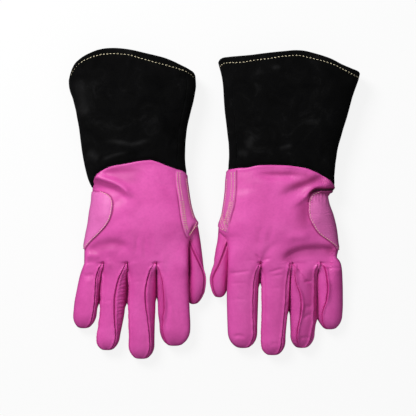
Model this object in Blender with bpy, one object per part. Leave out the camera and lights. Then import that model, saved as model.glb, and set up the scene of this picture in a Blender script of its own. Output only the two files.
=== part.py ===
"""A pair of gauntlet welding gloves lying palm down, side by side.

Metres, +Z up.  +Y runs from the fingertips to the cuff mouths, +X from the
right-hand glove to the left-hand glove.  The origin is on the resting plane,
under the middle of the pair.

Each glove is a sewn assembly of leather panels: a back and a palm panel, a
finger back, finger palm and side strips (fourchettes) for every finger, a
two-piece thumb, a reinforcing patch on the little-finger edge, a strap along
the thumb edge, a two-piece gauntlet cuff, the welt that joins cuff and hand,
and the visible rows of thread.  The leather is one continuous skin on a real
glove; here it is divided at the bend lines (finger roots, thumb root, wrist),
so that every finger, the thumb and the cuff can turn on its own axis.
"""
import bpy
import bmesh
import math
from mathutils import Vector

# ---------------------------------------------------------------- dimensions
GRID = 1.1e-3            # plan grid pitch: 1.1 mm squares
GRID_X0 = 215.262          # grid column of the pair's middle
GRID_Y0 = 204.14          # grid row of the pair's middle (rows count down)
HAND_SKIN = 1.3e-3       # grain leather of the hand
CUFF_SKIN = 1.6e-3       # split leather of the cuff
PATCH_SKIN = 1.1e-3      # overlay leather (patch and strap)
LAY = 0.35e-3            # gap between a thread and the leather under it
OVERLAY = 0.9e-3         # gap under the patch and the strap, which lie on the faceted hand
THREAD_R = 0.45e-3       # sewing thread, drawn as a round cord
ROW_WRIST = 176.0        # grid row where the hand panels begin
ROW_CUFF = 166.0         # grid row where the cuff ends
ROW_CROTCH = 261.5       # grid row of the finger roots
SEAM_DEG = 2.0           # half of the angular gap between two sewn strips
SQUARE = 2.35            # super-ellipse exponent of every cross-section
FINGER_CUT = 0.12        # slope of the finger root, so that a finger can lift

RIGHT = {
    "name": "right", "sign": 1.0,
    "cuff_little": [(48, 70.5), (76, 70.0), (86, 69.5), (98, 73), (110, 76), (128, 79), (152, 82), (166, 85)],
    "cuff_thumb": [(48, 195.0), (74, 195), (86, 196), (98, 194), (116, 190), (134, 186.5), (152, 185), (166, 185.5)],
    "cuff_top": [(69, 79), (71, 70), (75, 62), (83, 56), (95, 50.5), (110, 48.6), (135, 50.5), (160, 56), (177, 62), (188, 68), (196, 76)],
    "hand_little": [(176, 90), (190, 92.5), (200, 92.5), (212, 90), (230, 87), (248, 84.5), (262, 83.6)],
    "hand_thumb": [(176, 186.3), (190, 187.0), (200, 187.2), (206, 186.4), (212, 185.2), (262, 185.2)],
    "fingers": {
        "index": ((170.9, 261.5), (173.2, 346.5), 14.0, 14.6),
        "middle": ((141.2, 261.5), (141.2, 359.0), 13.3, 13.3),
        "ring": ((115.0, 261.5), (108.3, 350.2), 10.7, 12.0),
        "little": ((93.8, 261.5), (83.6, 328.4), 9.3, 11.4),
    },
    "thumb": [(211, 192.2, 4.6), (222, 192.4, 5.2), (235, 192.7, 5.9), (255, 194.0, 7.0), (270, 195.3, 8.1), (280, 196.7, 9.3), (291, 195.6, 8.1), (303.2, 195.0, 7.2)],
    "patch": [(191, 101), (193, 107), (198, 112), (203, 113.5), (210, 112.6), (217, 110.5), (225, 106.5), (232, 101.5), (239, 95), (245, 89.5)],
    "strap": [(177, 176.6), (186, 177.4), (195, 178.6), (206, 181.0)],
}
LEFT = {
    "name": "left", "sign": -1.0,
    "cuff_little": [(48, 360.5), (74, 360.5), (92, 354), (116, 348), (140, 340), (152, 337), (166, 335)],
    "cuff_thumb": [(48, 216.5), (62, 217), (80, 222), (104, 224), (128, 227), (152, 228), (166, 227)],
    "cuff_top": [(216, 63), (219, 58.5), (225, 56.5), (250, 53.5), (282, 50), (292, 49.4), (302, 50), (327, 56), (340, 62), (354, 68), (361, 74)],
    "hand_little": [(176, 333.5), (190, 330.5), (196, 328.6), (203, 328.8), (212, 330), (230, 335), (248, 337.5), (262, 340.6)],
    "hand_thumb": [(176, 226.5), (190, 226.6), (200, 227.2), (206, 228.2), (212, 229.4), (262, 229.4)],
    "fingers": {
        "index": ((244.0, 261.5), (243.6, 347.5), 13.8, 14.2),
        "middle": ((275.4, 261.5), (272.6, 354.5), 13.8, 12.9),
        "ring": ((304.4, 261.5), (301.6, 347.6), 13.2, 12.7),
        "little": ((330.4, 261.5), (329.6, 329.0), 10.6, 11.6),
    },
    "thumb": [(211, 222.6, 4.4), (222, 222.6, 5.0), (235, 222.5, 5.6), (255, 221.1, 6.9), (270, 219.3, 8.5), (280, 218.3, 9.3), (288, 218.7, 8.7), (298.0, 219.5, 7.2)],
    "patch": [(196, 323), (198, 316), (202, 311), (207, 309), (214, 308.6), (220, 310), (228, 315), (236, 322), (243, 329), (247, 334)],
    "strap": [(177, 235.0), (186, 235.4), (195, 235.2), (206, 233.4)],
}
HAND_HEIGHT = [(170, 39), (185, 40), (205, 41), (225, 40), (245, 36), (262, 29)]   # mm over the table
CUFF_HEIGHT = [(48, 47), (90, 46), (130, 43), (166, 39)]
FINGER_HEIGHT = [(0.0, 27.0), (0.45, 25.0), (0.8, 22.5), (1.0, 20.0)]
FINGER_ROWS = [(0.0, 0.0), (0.125, 0.28), (0.25, 0.53), (0.375, 0.73), (0.5, 0.845), (0.625, 0.918), (0.75, 0.964), (0.875, 0.99), (1.0, 0.9992)]   # rows crowd the tip
THUMB_HEIGHT = [(0.0, 27.0), (0.5, 27.0), (1.0, 22.0)]

PINK = (0.64, 0.085, 0.36, 1.0)
BLACK = (0.006, 0.006, 0.0065, 1.0)
THREAD = (0.72, 0.62, 0.42, 1.0)


# ------------------------------------------------------------------- helpers
def table(rows, at):
    """Piecewise-linear value of a table at a position."""
    if at <= rows[0][0]:
        return rows[0][1]
    for (a, va), (b, vb) in zip(rows, rows[1:]):
        if at <= b:
            return va + (vb - va) * (at - a) / (b - a)
    return rows[-1][1]


def plan_x(col):
    return (col - GRID_X0) * GRID


def plan_y(row):
    return (GRID_Y0 - row) * GRID


def sel(c, power):
    """Signed power, the coordinate of a super-ellipse."""
    return math.copysign(abs(c) ** power, c)


def material(name, colour, roughness):
    m = bpy.data.materials.new(name)
    m.use_nodes = True
    p = m.node_tree.nodes["Principled BSDF"]
    p.inputs["Base Color"].default_value = colour
    p.inputs["Roughness"].default_value = roughness
    p.inputs["Metallic"].default_value = 0.0
    m.diffuse_color = colour
    return m


def finish(obj, mat, parent):
    obj.data.materials.append(mat)
    for poly in obj.data.polygons:
        poly.use_smooth = True
    obj.data.set_sharp_from_angle(angle=math.radians(40))
    obj.parent = parent
    obj.matrix_parent_inverse = parent.matrix_world.inverted()
    return obj


def empty(name, place, parent=None):
    e = bpy.data.objects.new(name, None)
    e.empty_display_size = 0.02
    e.location = place if parent is None else place - parent.matrix_world.translation
    e.parent = parent
    bpy.context.scene.collection.objects.link(e)
    bpy.context.view_layer.update()
    return e


def normal_of(surface, t, phi, inside):
    """Outward unit normal of a tube surface, by differences."""
    dt, dp = 1e-3, math.radians(0.6)
    a = surface(t + dt, phi) - surface(t - dt, phi)
    b = surface(t, phi + dp) - surface(t, phi - dp)
    n = a.cross(b)
    if n.length < 1e-12:
        n = surface(t, phi) - inside(t)
    n.normalize()
    if n.dot(surface(t, phi) - inside(t)) < 0:
        n.negate()
    return n


def panel(name, surface, inside, where, nu, nv, skin, lift=0.0):
    """One piece of leather: a patch of a tube surface with a real thickness.

    where(u, v) gives the tube position (t, angle) for u, v from 0 to 1.
    """
    bm = bmesh.new()
    outer, inner = [], []
    for i in range(nu + 1):
        ro, ri = [], []
        for j in range(nv + 1):
            t, phi = where(i / nu, j / nv)
            p = surface(t, phi)
            n = normal_of(surface, t, phi, inside)
            a = p + n * lift
            b = p + n * (lift - skin)
            a.z = max(a.z, 0.0)
            b.z = max(b.z, skin)
            ro.append(bm.verts.new(a))
            ri.append(bm.verts.new(b))
        outer.append(ro)
        inner.append(ri)
    for i in range(nu):
        for j in range(nv):
            bm.faces.new((outer[i][j], outer[i + 1][j], outer[i + 1][j + 1], outer[i][j + 1]))
            bm.faces.new((inner[i][j], inner[i][j + 1], inner[i + 1][j + 1], inner[i + 1][j]))
    for i in range(nu):
        for j in (0, nv):
            bm.faces.new((outer[i][j], outer[i + 1][j], inner[i + 1][j], inner[i][j]))
    for j in range(nv):
        for i in (0, nu):
            bm.faces.new((outer[i][j], outer[i][j + 1], inner[i][j + 1], inner[i][j]))
    bmesh.ops.recalc_face_normals(bm, faces=bm.faces)
    bmesh.ops.triangulate(bm, faces=bm.faces)
    mesh = bpy.data.meshes.new(name)
    bm.to_mesh(mesh)
    bm.free()
    obj = bpy.data.objects.new(name, mesh)
    bpy.context.scene.collection.objects.link(obj)
    return obj


def band(name, surface, inside, t0, t1, n, skin):
    """A closed ring of leather between two positions on a tube."""
    bm = bmesh.new()
    loops = []
    for t, lift in ((t0, 0.0), (t1, 0.0), (t1, -skin), (t0, -skin)):
        loop = []
        for j in range(n):
            phi = 2 * math.pi * j / n
            p = surface(t, phi) + normal_of(surface, t, phi, inside) * lift
            p.z = max(p.z, 0.6e-3 - lift)
            loop.append(bm.verts.new(p))
        loops.append(loop)
    for k in range(4):
        a, b = loops[k], loops[(k + 1) % 4]
        for j in range(n):
            bm.faces.new((a[j], b[j], b[(j + 1) % n], a[(j + 1) % n]))
    bmesh.ops.recalc_face_normals(bm, faces=bm.faces)
    bmesh.ops.triangulate(bm, faces=bm.faces)
    mesh = bpy.data.meshes.new(name)
    bm.to_mesh(mesh)
    bm.free()
    obj = bpy.data.objects.new(name, mesh)
    bpy.context.scene.collection.objects.link(obj)
    return obj


def thread(name, points):
    """A row of stitching as one round thread along its seam."""
    curve = bpy.data.curves.new(name, "CURVE")
    curve.dimensions = "3D"
    curve.bevel_depth = THREAD_R
    curve.bevel_resolution = 1
    curve.use_fill_caps = True
    spline = curve.splines.new("POLY")
    spline.points.add(len(points) - 1)
    for sp, p in zip(spline.points, points):
        sp.co = (p.x, p.y, p.z, 1.0)
    obj = bpy.data.objects.new(name, curve)
    bpy.context.scene.collection.objects.link(obj)
    return obj


def finish_thread(obj, mat, parent):
    obj.data.materials.append(mat)
    obj.parent = parent
    obj.matrix_parent_inverse = parent.matrix_world.inverted()
    return obj


# ---------------------------------------------------------------- tube forms
def cross(centre, half, side, up, height, phi, flat=2.0e-3):
    """A point of a cross-section that rests flat on the table.

    side is the plan direction towards the thumb, phi runs from the thumb side
    (0) over the back (90 degrees) to the little-finger side (180 degrees).
    """
    e = 2.0 / SQUARE
    mid = 0.43 * height
    s = sel(math.sin(phi), e)
    z = mid + (height - mid) * s if s > 0 else mid + (mid + flat) * s
    p = centre + side * (half * sel(math.cos(phi), e))
    return Vector((p.x, p.y, up + max(z, 0.0)))


def hand_tube(g):
    """The hand from the wrist (t = 0) to the finger roots (t = 1)."""
    def row(t):
        return ROW_WRIST + (ROW_CROTCH - ROW_WRIST) * t

    def surface(t, phi):
        r = row(t)
        a, b = plan_x(table(g["hand_little"], r)), plan_x(table(g["hand_thumb"], r))
        side = Vector((g["sign"], 0, 0))
        return cross(Vector(((a + b) / 2, plan_y(r), 0)), abs(b - a) / 2, side, 0.0,
                     table(HAND_HEIGHT, r) * 1e-3, phi)

    def inside(t):
        r = row(t)
        a, b = plan_x(table(g["hand_little"], r)), plan_x(table(g["hand_thumb"], r))
        return Vector(((a + b) / 2, plan_y(r), table(HAND_HEIGHT, r) * 0.43e-3))

    return surface, inside, (lambda r: (r - ROW_WRIST) / (ROW_CROTCH - ROW_WRIST))


def cuff_tube(g):
    """The gauntlet from its arched mouth (t = 0) to the wrist (t = 1)."""
    lo = min(r for _, r in g["cuff_top"])

    def mouth(col):
        return table(sorted(g["cuff_top"]), col)

    def surface(t, phi):
        r = lo + 14 + (ROW_CUFF - lo - 14) * t
        for _ in range(3):       # the mouth arches, so its row depends on the column
            a, b = plan_x(table(g["cuff_little"], r)), plan_x(table(g["cuff_thumb"], r))
            x = (a + b) / 2 + g["sign"] * abs(b - a) / 2 * sel(math.cos(phi), 2.0 / SQUARE)
            top = mouth(x / GRID + GRID_X0)
            if math.sin(phi) < 0:           # the palm side of the mouth is cut a little lower
                top += 5.0 * -math.sin(phi)
            r = top + (ROW_CUFF - top) * t
        a, b = plan_x(table(g["cuff_little"], r)), plan_x(table(g["cuff_thumb"], r))
        return cross(Vector(((a + b) / 2, plan_y(r), 0)), abs(b - a) / 2, Vector((g["sign"], 0, 0)), 0.0,
                     table(CUFF_HEIGHT, r) * 1e-3, phi)

    def inside(t):
        r = lo + 10 + (ROW_CUFF - lo - 10) * t
        a, b = plan_x(table(g["cuff_little"], r)), plan_x(table(g["cuff_thumb"], r))
        return Vector(((a + b) / 2, plan_y(r), table(CUFF_HEIGHT, r) * 0.43e-3))

    return surface, inside


def welt_tube(g):
    """The short stretch between the cuff and the hand."""
    a0 = plan_x(g["cuff_little"][-1][1]), plan_x(g["cuff_thumb"][-1][1])
    a1 = plan_x(g["hand_little"][0][1]), plan_x(g["hand_thumb"][0][1])

    def surface(t, phi):
        a = a0[0] + (a1[0] - a0[0]) * t
        b = a0[1] + (a1[1] - a0[1]) * t
        r = ROW_CUFF + (ROW_WRIST - ROW_CUFF) * t
        return cross(Vector(((a + b) / 2, plan_y(r), 0)), abs(b - a) / 2 - 0.3e-3, Vector((g["sign"], 0, 0)), 0.0,
                     38.4e-3, phi)

    def inside(t):
        a = (a0[0] + a0[1]) / 2 + ((a1[0] + a1[1]) - (a0[0] + a0[1])) / 2 * t
        return Vector((a, plan_y(ROW_CUFF + (ROW_WRIST - ROW_CUFF) * t), 16e-3))

    return surface, inside


def rounding(t, start):
    """How much of a cross-section is left where a tip closes, from 1 to 0."""
    if t <= start:
        return 1.0
    return math.sqrt(max(0.008, 1.0 - ((t - start) / (1.0 - start)) ** 2))


def finger_tube(g, root, tip, w0, w1):
    """A finger stall from its root (t = 0) to its rounded tip (t = 1)."""
    a = Vector((plan_x(root[0]), plan_y(root[1]), 0))
    b = Vector((plan_x(tip[0]), plan_y(tip[1]), 0))
    d = (b - a).normalized()
    side = Vector((-d.y, d.x, 0))
    if side.x * g["sign"] < 0:
        side.negate()
    length = (b - a).length
    start = 1.0 - 1.05 * w1 * GRID / length        # where the tip begins to round

    def surface(t, phi):
        w = (w0 + (w1 - w0) * min(1.0, t / 0.45)) * GRID
        h = table(FINGER_HEIGHT, t) * 1e-3
        f = rounding(t, start)
        return cross(a + d * (t * length), w * f, side, 0.42 * h * (1 - f), h * f, phi, flat=1.2e-3 * f)

    def inside(t):
        h = table(FINGER_HEIGHT, t) * 1e-3
        return a + d * (min(t, start) * length) + Vector((0, 0, 0.43 * h))

    return surface, inside, length, a


def thumb_tube(g):
    """The thumb, lying on its edge beside the index finger."""
    first, last = g["thumb"][0][0], g["thumb"][-1][0]
    column = [(r, c) for r, c, w in g["thumb"]]
    width = [(r, w) for r, c, w in g["thumb"]]
    length = (last - first) * GRID
    start = 1.0 - 9.0 * GRID / length

    def centre(t):
        r = first + (last - first) * t
        return Vector((plan_x(table(column, r)), plan_y(r), 0))

    def surface(t, phi):
        h = table(THUMB_HEIGHT, t) * 1e-3
        f = rounding(t, start)
        w = table(width, first + (last - first) * t) * GRID
        return cross(centre(t), w * f, Vector((g["sign"], 0, 0)), 0.42 * h * (1 - f), h * f, phi, flat=1.0e-3 * f)

    def inside(t):
        return centre(min(t, 0.9)) + Vector((0, 0, 0.43e-3 * table(THUMB_HEIGHT, t)))

    return surface, inside, length, first


def deg(a):
    return math.radians(a)


# ------------------------------------------------------------------- a glove
def glove(g, pink, black, cotton, root):
    n = g["name"]
    hand = empty(n + "_hand_axis", Vector((0, 0, 0)), root)
    surface, inside, at_row = hand_tube(g)

    # the thumb hole: both panels draw back from the thumb edge around it
    def hole(t, most):
        r = ROW_WRIST + (ROW_CROTCH - ROW_WRIST) * t
        if r < 209 or r > 241:
            return 0.0
        return most * min(1.0, (r - 209) / 4.0, (241 - r) / 4.0)

    knots = [at_row(r) for r in (176, 184, 190, 196, 203, 209, 213, 225, 237, 241, 251)] + [0.994]

    def along(u):
        k = u * (len(knots) - 1)
        i = min(int(k), len(knots) - 2)
        return knots[i] + (knots[i + 1] - knots[i]) * (k - i)

    nu = len(knots) - 1
    finish(panel(n + "_back_panel", surface, inside,
                 lambda u, v: (along(u), deg((3 + hole(along(u), 30)) * (1 - v) + 177 * v)), nu, 12, HAND_SKIN), pink, hand)
    finish(panel(n + "_palm_panel", surface, inside,
                 lambda u, v: (along(u), deg(-(3 + hole(along(u), 38)) * (1 - v) - 177 * v)), nu, 12, HAND_SKIN), pink, hand)

    # reinforcing patch that wraps the little-finger edge
    def patch_edge(r):
        a, b = table(g["hand_little"], r), table(g["hand_thumb"], r)
        c = (table(g["patch"], r) - (a + b) / 2) * g["sign"] / (abs(b - a) / 2)
        return 180 - math.degrees(math.acos(min(0.999, abs(c)) ** (SQUARE / 2)))

    r0, r1 = g["patch"][0][0], g["patch"][-1][0]
    finish(panel(n + "_side_patch", surface, inside,
                 lambda u, v: (at_row(r0 + (r1 - r0) * u), deg(patch_edge(r0 + (r1 - r0) * u) * (1 - v) + 208 * v)),
                 10, 7, PATCH_SKIN, OVERLAY + PATCH_SKIN), pink, hand)
    row = [surface(at_row(r0 + (r1 - r0) * k / 12), deg(patch_edge(r0 + (r1 - r0) * k / 12) + 4))
           + normal_of(surface, at_row(r0 + (r1 - r0) * k / 12), deg(patch_edge(r0 + (r1 - r0) * k / 12) + 4), inside)
           * (OVERLAY + LAY + PATCH_SKIN + THREAD_R) for k in range(13)]
    finish_thread(thread(n + "_patch_thread", row), cotton, hand)

    # strap along the thumb edge, sewn with two rows
    def strap_edge(r):
        a, b = table(g["hand_little"], r), table(g["hand_thumb"], r)
        c = (table(g["strap"], r) - (a + b) / 2) * g["sign"] / (abs(b - a) / 2)
        return math.degrees(math.acos(min(0.999, abs(c)) ** (SQUARE / 2)))

    s0, s1 = g["strap"][0][0], g["strap"][-1][0]
    finish(panel(n + "_thumb_strap", surface, inside,
                 lambda u, v: (at_row(s0 + (s1 - s0) * u), deg(-12 * (1 - v) + strap_edge(s0 + (s1 - s0) * u) * v)),
                 6, 6, PATCH_SKIN, OVERLAY + PATCH_SKIN), pink, hand)

    def strap_row(k, inset):
        r = s0 + 1.0 + (s1 - s0 - 2.0) * k
        phi = deg(strap_edge(r) - inset)
        return surface(at_row(r), phi) + normal_of(surface, at_row(r), phi, inside) * (OVERLAY + LAY + PATCH_SKIN + THREAD_R)

    row = [strap_row(k / 6, 3.5) for k in range(7)] + [strap_row(1 - k / 6, 11) for k in range(7)]
    finish_thread(thread(n + "_strap_thread", row), cotton, hand)

    # the welt between hand and cuff, which folds when the wrist bends
    ws, wi = welt_tube(g)
    gap = 0.5 / (ROW_WRIST - ROW_CUFF)
    finish(band(n + "_wrist_welt", ws, wi, gap, 1 - gap, 28, HAND_SKIN), pink, hand)

    # gauntlet cuff
    cuff = empty(n + "_cuff_axis", Vector((0, plan_y((ROW_WRIST + ROW_CUFF) / 2), 17e-3)), hand)
    cs, ci = cuff_tube(g)
    finish(panel(n + "_cuff_back", cs, ci, lambda u, v: (u, deg(2.2 * (1 - v) + 177.8 * v)), 6, 11, CUFF_SKIN), black, cuff)
    finish(panel(n + "_cuff_palm", cs, ci, lambda u, v: (u, deg(-2.2 * (1 - v) - 177.8 * v)), 6, 11, CUFF_SKIN), black, cuff)
    row = []
    for k in range(17):
        phi = deg(12 + 156 * k / 16)
        row.append(cs(0.075, phi) + normal_of(cs, 0.075, phi, ci) * (LAY + THREAD_R))
    finish_thread(thread(n + "_hem_thread", row), cotton, cuff)

    # fingers
    for name, (r, tip, w0, w1) in g["fingers"].items():
        fs, fi, length, place = finger_tube(g, r, tip, w0, w1)
        axis = empty(n + "_" + name + "_axis", place + Vector((0, 0, 0.6e-3)), hand)

        def from_root(phi, fs=fs, length=length):
            return (1.2e-3 + FINGER_CUT * fs(0.02, phi).z) / length

        def strip(a, b, fs=fs, from_root=from_root):
            def where(u, v):
                phi = deg(a + SEAM_DEG) * (1 - v) + deg(b - SEAM_DEG) * v
                t0 = from_root(phi)
                return t0 + (1.0 - t0) * table(FINGER_ROWS, u), phi
            return where

        outer_back = {"index": -38, "little": 38}.get(name, 38)
        inner_back = {"little": 218}.get(name, 142)
        wrap = 6 if name in ("index", "little") else 4
        finish(panel(f"{n}_{name}_back", fs, fi, strip(outer_back, inner_back), 8, wrap, HAND_SKIN), pink, axis)
        finish(panel(f"{n}_{name}_palm", fs, fi, strip(218, 322), 8, 4, HAND_SKIN), pink, axis)
        if name != "index":
            finish(panel(f"{n}_{name}_fourchette_thumb_side", fs, fi, strip(-38, 38), 8, 3, HAND_SKIN), pink, axis)
        if name != "little":
            finish(panel(f"{n}_{name}_fourchette_little_side", fs, fi, strip(142, 218), 8, 3, HAND_SKIN), pink, axis)

    # thumb, cut open towards the hole in the hand
    ts, ti, length, first = thumb_tube(g)
    axis = empty(n + "_thumb_axis", Vector((plan_x(g["thumb"][1][1]), plan_y(228), 0.6e-3)), hand)

    def open_root(phi):
        return 0.01 + 0.29 * max(0.0, -math.cos(phi)) ** 0.8

    def half(a, b):
        def where(u, v):
            phi = deg(a + SEAM_DEG) * (1 - v) + deg(b - SEAM_DEG) * v
            t0 = open_root(phi)
            return t0 + (1.0 - t0) * table(FINGER_ROWS, u), phi
        return where

    finish(panel(n + "_thumb_outer", ts, ti, half(-85, 95), 8, 6, HAND_SKIN), pink, axis)
    finish(panel(n + "_thumb_inner", ts, ti, half(95, 275), 8, 6, HAND_SKIN), pink, axis)


def main():
    for obj in list(bpy.data.objects):
        bpy.data.objects.remove(obj, do_unlink=True)
    pink = material("pink_grain_leather", PINK, 0.42)
    black = material("black_split_leather", BLACK, 0.92)
    cotton = material("sewing_thread", THREAD, 0.8)
    pair = empty("pair", Vector((0, 0, 0)))
    for g in (RIGHT, LEFT):
        glove(g, pink, black, cotton, pair)


main()
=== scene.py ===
"""Looks of the pair of welding gloves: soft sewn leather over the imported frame.

Plan positions are given on a 1.1 mm grid (column, row), heights in millimetres.
"""
import math
import bpy
import bmesh
import numpy as np
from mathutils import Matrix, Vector


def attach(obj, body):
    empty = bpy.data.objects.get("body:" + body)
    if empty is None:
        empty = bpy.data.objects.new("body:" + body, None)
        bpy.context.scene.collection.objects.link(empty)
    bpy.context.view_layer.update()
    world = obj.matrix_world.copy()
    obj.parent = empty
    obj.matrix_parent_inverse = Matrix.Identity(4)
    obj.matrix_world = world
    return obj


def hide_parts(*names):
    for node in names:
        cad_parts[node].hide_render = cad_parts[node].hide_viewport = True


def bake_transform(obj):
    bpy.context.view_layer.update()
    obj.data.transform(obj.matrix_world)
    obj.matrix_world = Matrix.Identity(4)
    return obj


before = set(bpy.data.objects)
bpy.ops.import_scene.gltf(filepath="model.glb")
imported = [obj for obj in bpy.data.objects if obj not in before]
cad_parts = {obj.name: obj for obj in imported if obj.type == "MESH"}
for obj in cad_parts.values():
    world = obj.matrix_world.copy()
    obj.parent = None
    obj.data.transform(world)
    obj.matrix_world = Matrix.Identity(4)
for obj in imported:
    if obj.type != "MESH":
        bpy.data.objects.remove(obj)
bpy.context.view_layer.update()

# ------------------------------------------------------------------ plan grid
GRID = 1.1e-3
X0, Y0 = 215.262, 204.14
CROTCH = 263.5            # row of the finger roots
MIDDLE = 208.0            # the camera looks straight down on this column and row
LENS, SENSOR = 120.0, 36.0
FAR = 2 * MIDDLE * GRID * LENS / SENSOR * 1e3      # millimetres from the camera to its plane of true scale
PLANE = 20.0              # height of that plane


def place(P):
    """(column, row, millimetres) as the camera sees them, to metres in the shared frame."""
    P = np.asarray(P, float)
    out = np.empty_like(P)
    k = (FAR + PLANE - P[..., 2]) / FAR
    out[..., 0] = (MIDDLE + (P[..., 0] - MIDDLE) * k - X0) * GRID
    out[..., 1] = (Y0 - MIDDLE - (P[..., 1] - MIDDLE) * k) * GRID
    out[..., 2] = P[..., 2] * 1e-3
    return out


def curve(pairs):
    """A smooth curve that keeps to its points without overshoot."""
    a = np.array(sorted(pairs), float)
    x, y = a[:, 0], a[:, 1]
    h = np.diff(x)
    d = np.diff(y) / h
    m = np.zeros(len(x))
    for i in range(1, len(x) - 1):
        if d[i - 1] * d[i] > 0:
            w1, w2 = 2 * h[i] + h[i - 1], h[i] + 2 * h[i - 1]
            m[i] = (w1 + w2) / (w1 / d[i - 1] + w2 / d[i])
    m[0], m[-1] = d[0], d[-1]

    def at(v):
        v = np.clip(np.asarray(v, float), x[0], x[-1])
        i = np.clip(np.searchsorted(x, v, side="right") - 1, 0, len(x) - 2)
        t = (v - x[i]) / h[i]
        t2, t3 = t * t, t * t * t
        return ((2 * t3 - 3 * t2 + 1) * y[i] + (t3 - 2 * t2 + t) * h[i] * m[i]
                + (-2 * t3 + 3 * t2) * y[i + 1] + (t3 - t2) * h[i] * m[i + 1])
    return at


def smooth(a, b, v):
    t = np.clip((np.asarray(v, float) - a) / (b - a), 0, 1)
    return t * t * (3 - 2 * t)


def along(path, n=None, step=None):
    """Points at even spacing along a plan path (in grid units)."""
    p = np.array(path, float)
    t = np.concatenate([[0], np.cumsum(np.hypot(*np.diff(p, axis=0).T))])
    fx, fy = curve(list(zip(t, p[:, 0]))), curve(list(zip(t, p[:, 1])))
    k = np.linspace(0, t[-1], n if n else max(2, int(round(t[-1] / step)) + 1))
    return np.stack([fx(k), fy(k)], -1)


def waves(seed, size, count=14):
    """A soft random undulation of plan position, from -1 to 1 or so."""
    r = np.random.RandomState(seed)
    ang, k = r.uniform(0, math.tau, count), r.uniform(0.6, 1.6, count) * math.tau / size
    ph = r.uniform(0, math.tau, count)

    def at(x, y, z=0.0):
        s = 0
        for a, q, p in zip(ang, k, ph):
            s = s + np.sin(q * (np.cos(a) * x + np.sin(a) * y + 0.7 * np.asarray(z)) + p)
        return s / math.sqrt(count)
    return at


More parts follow.
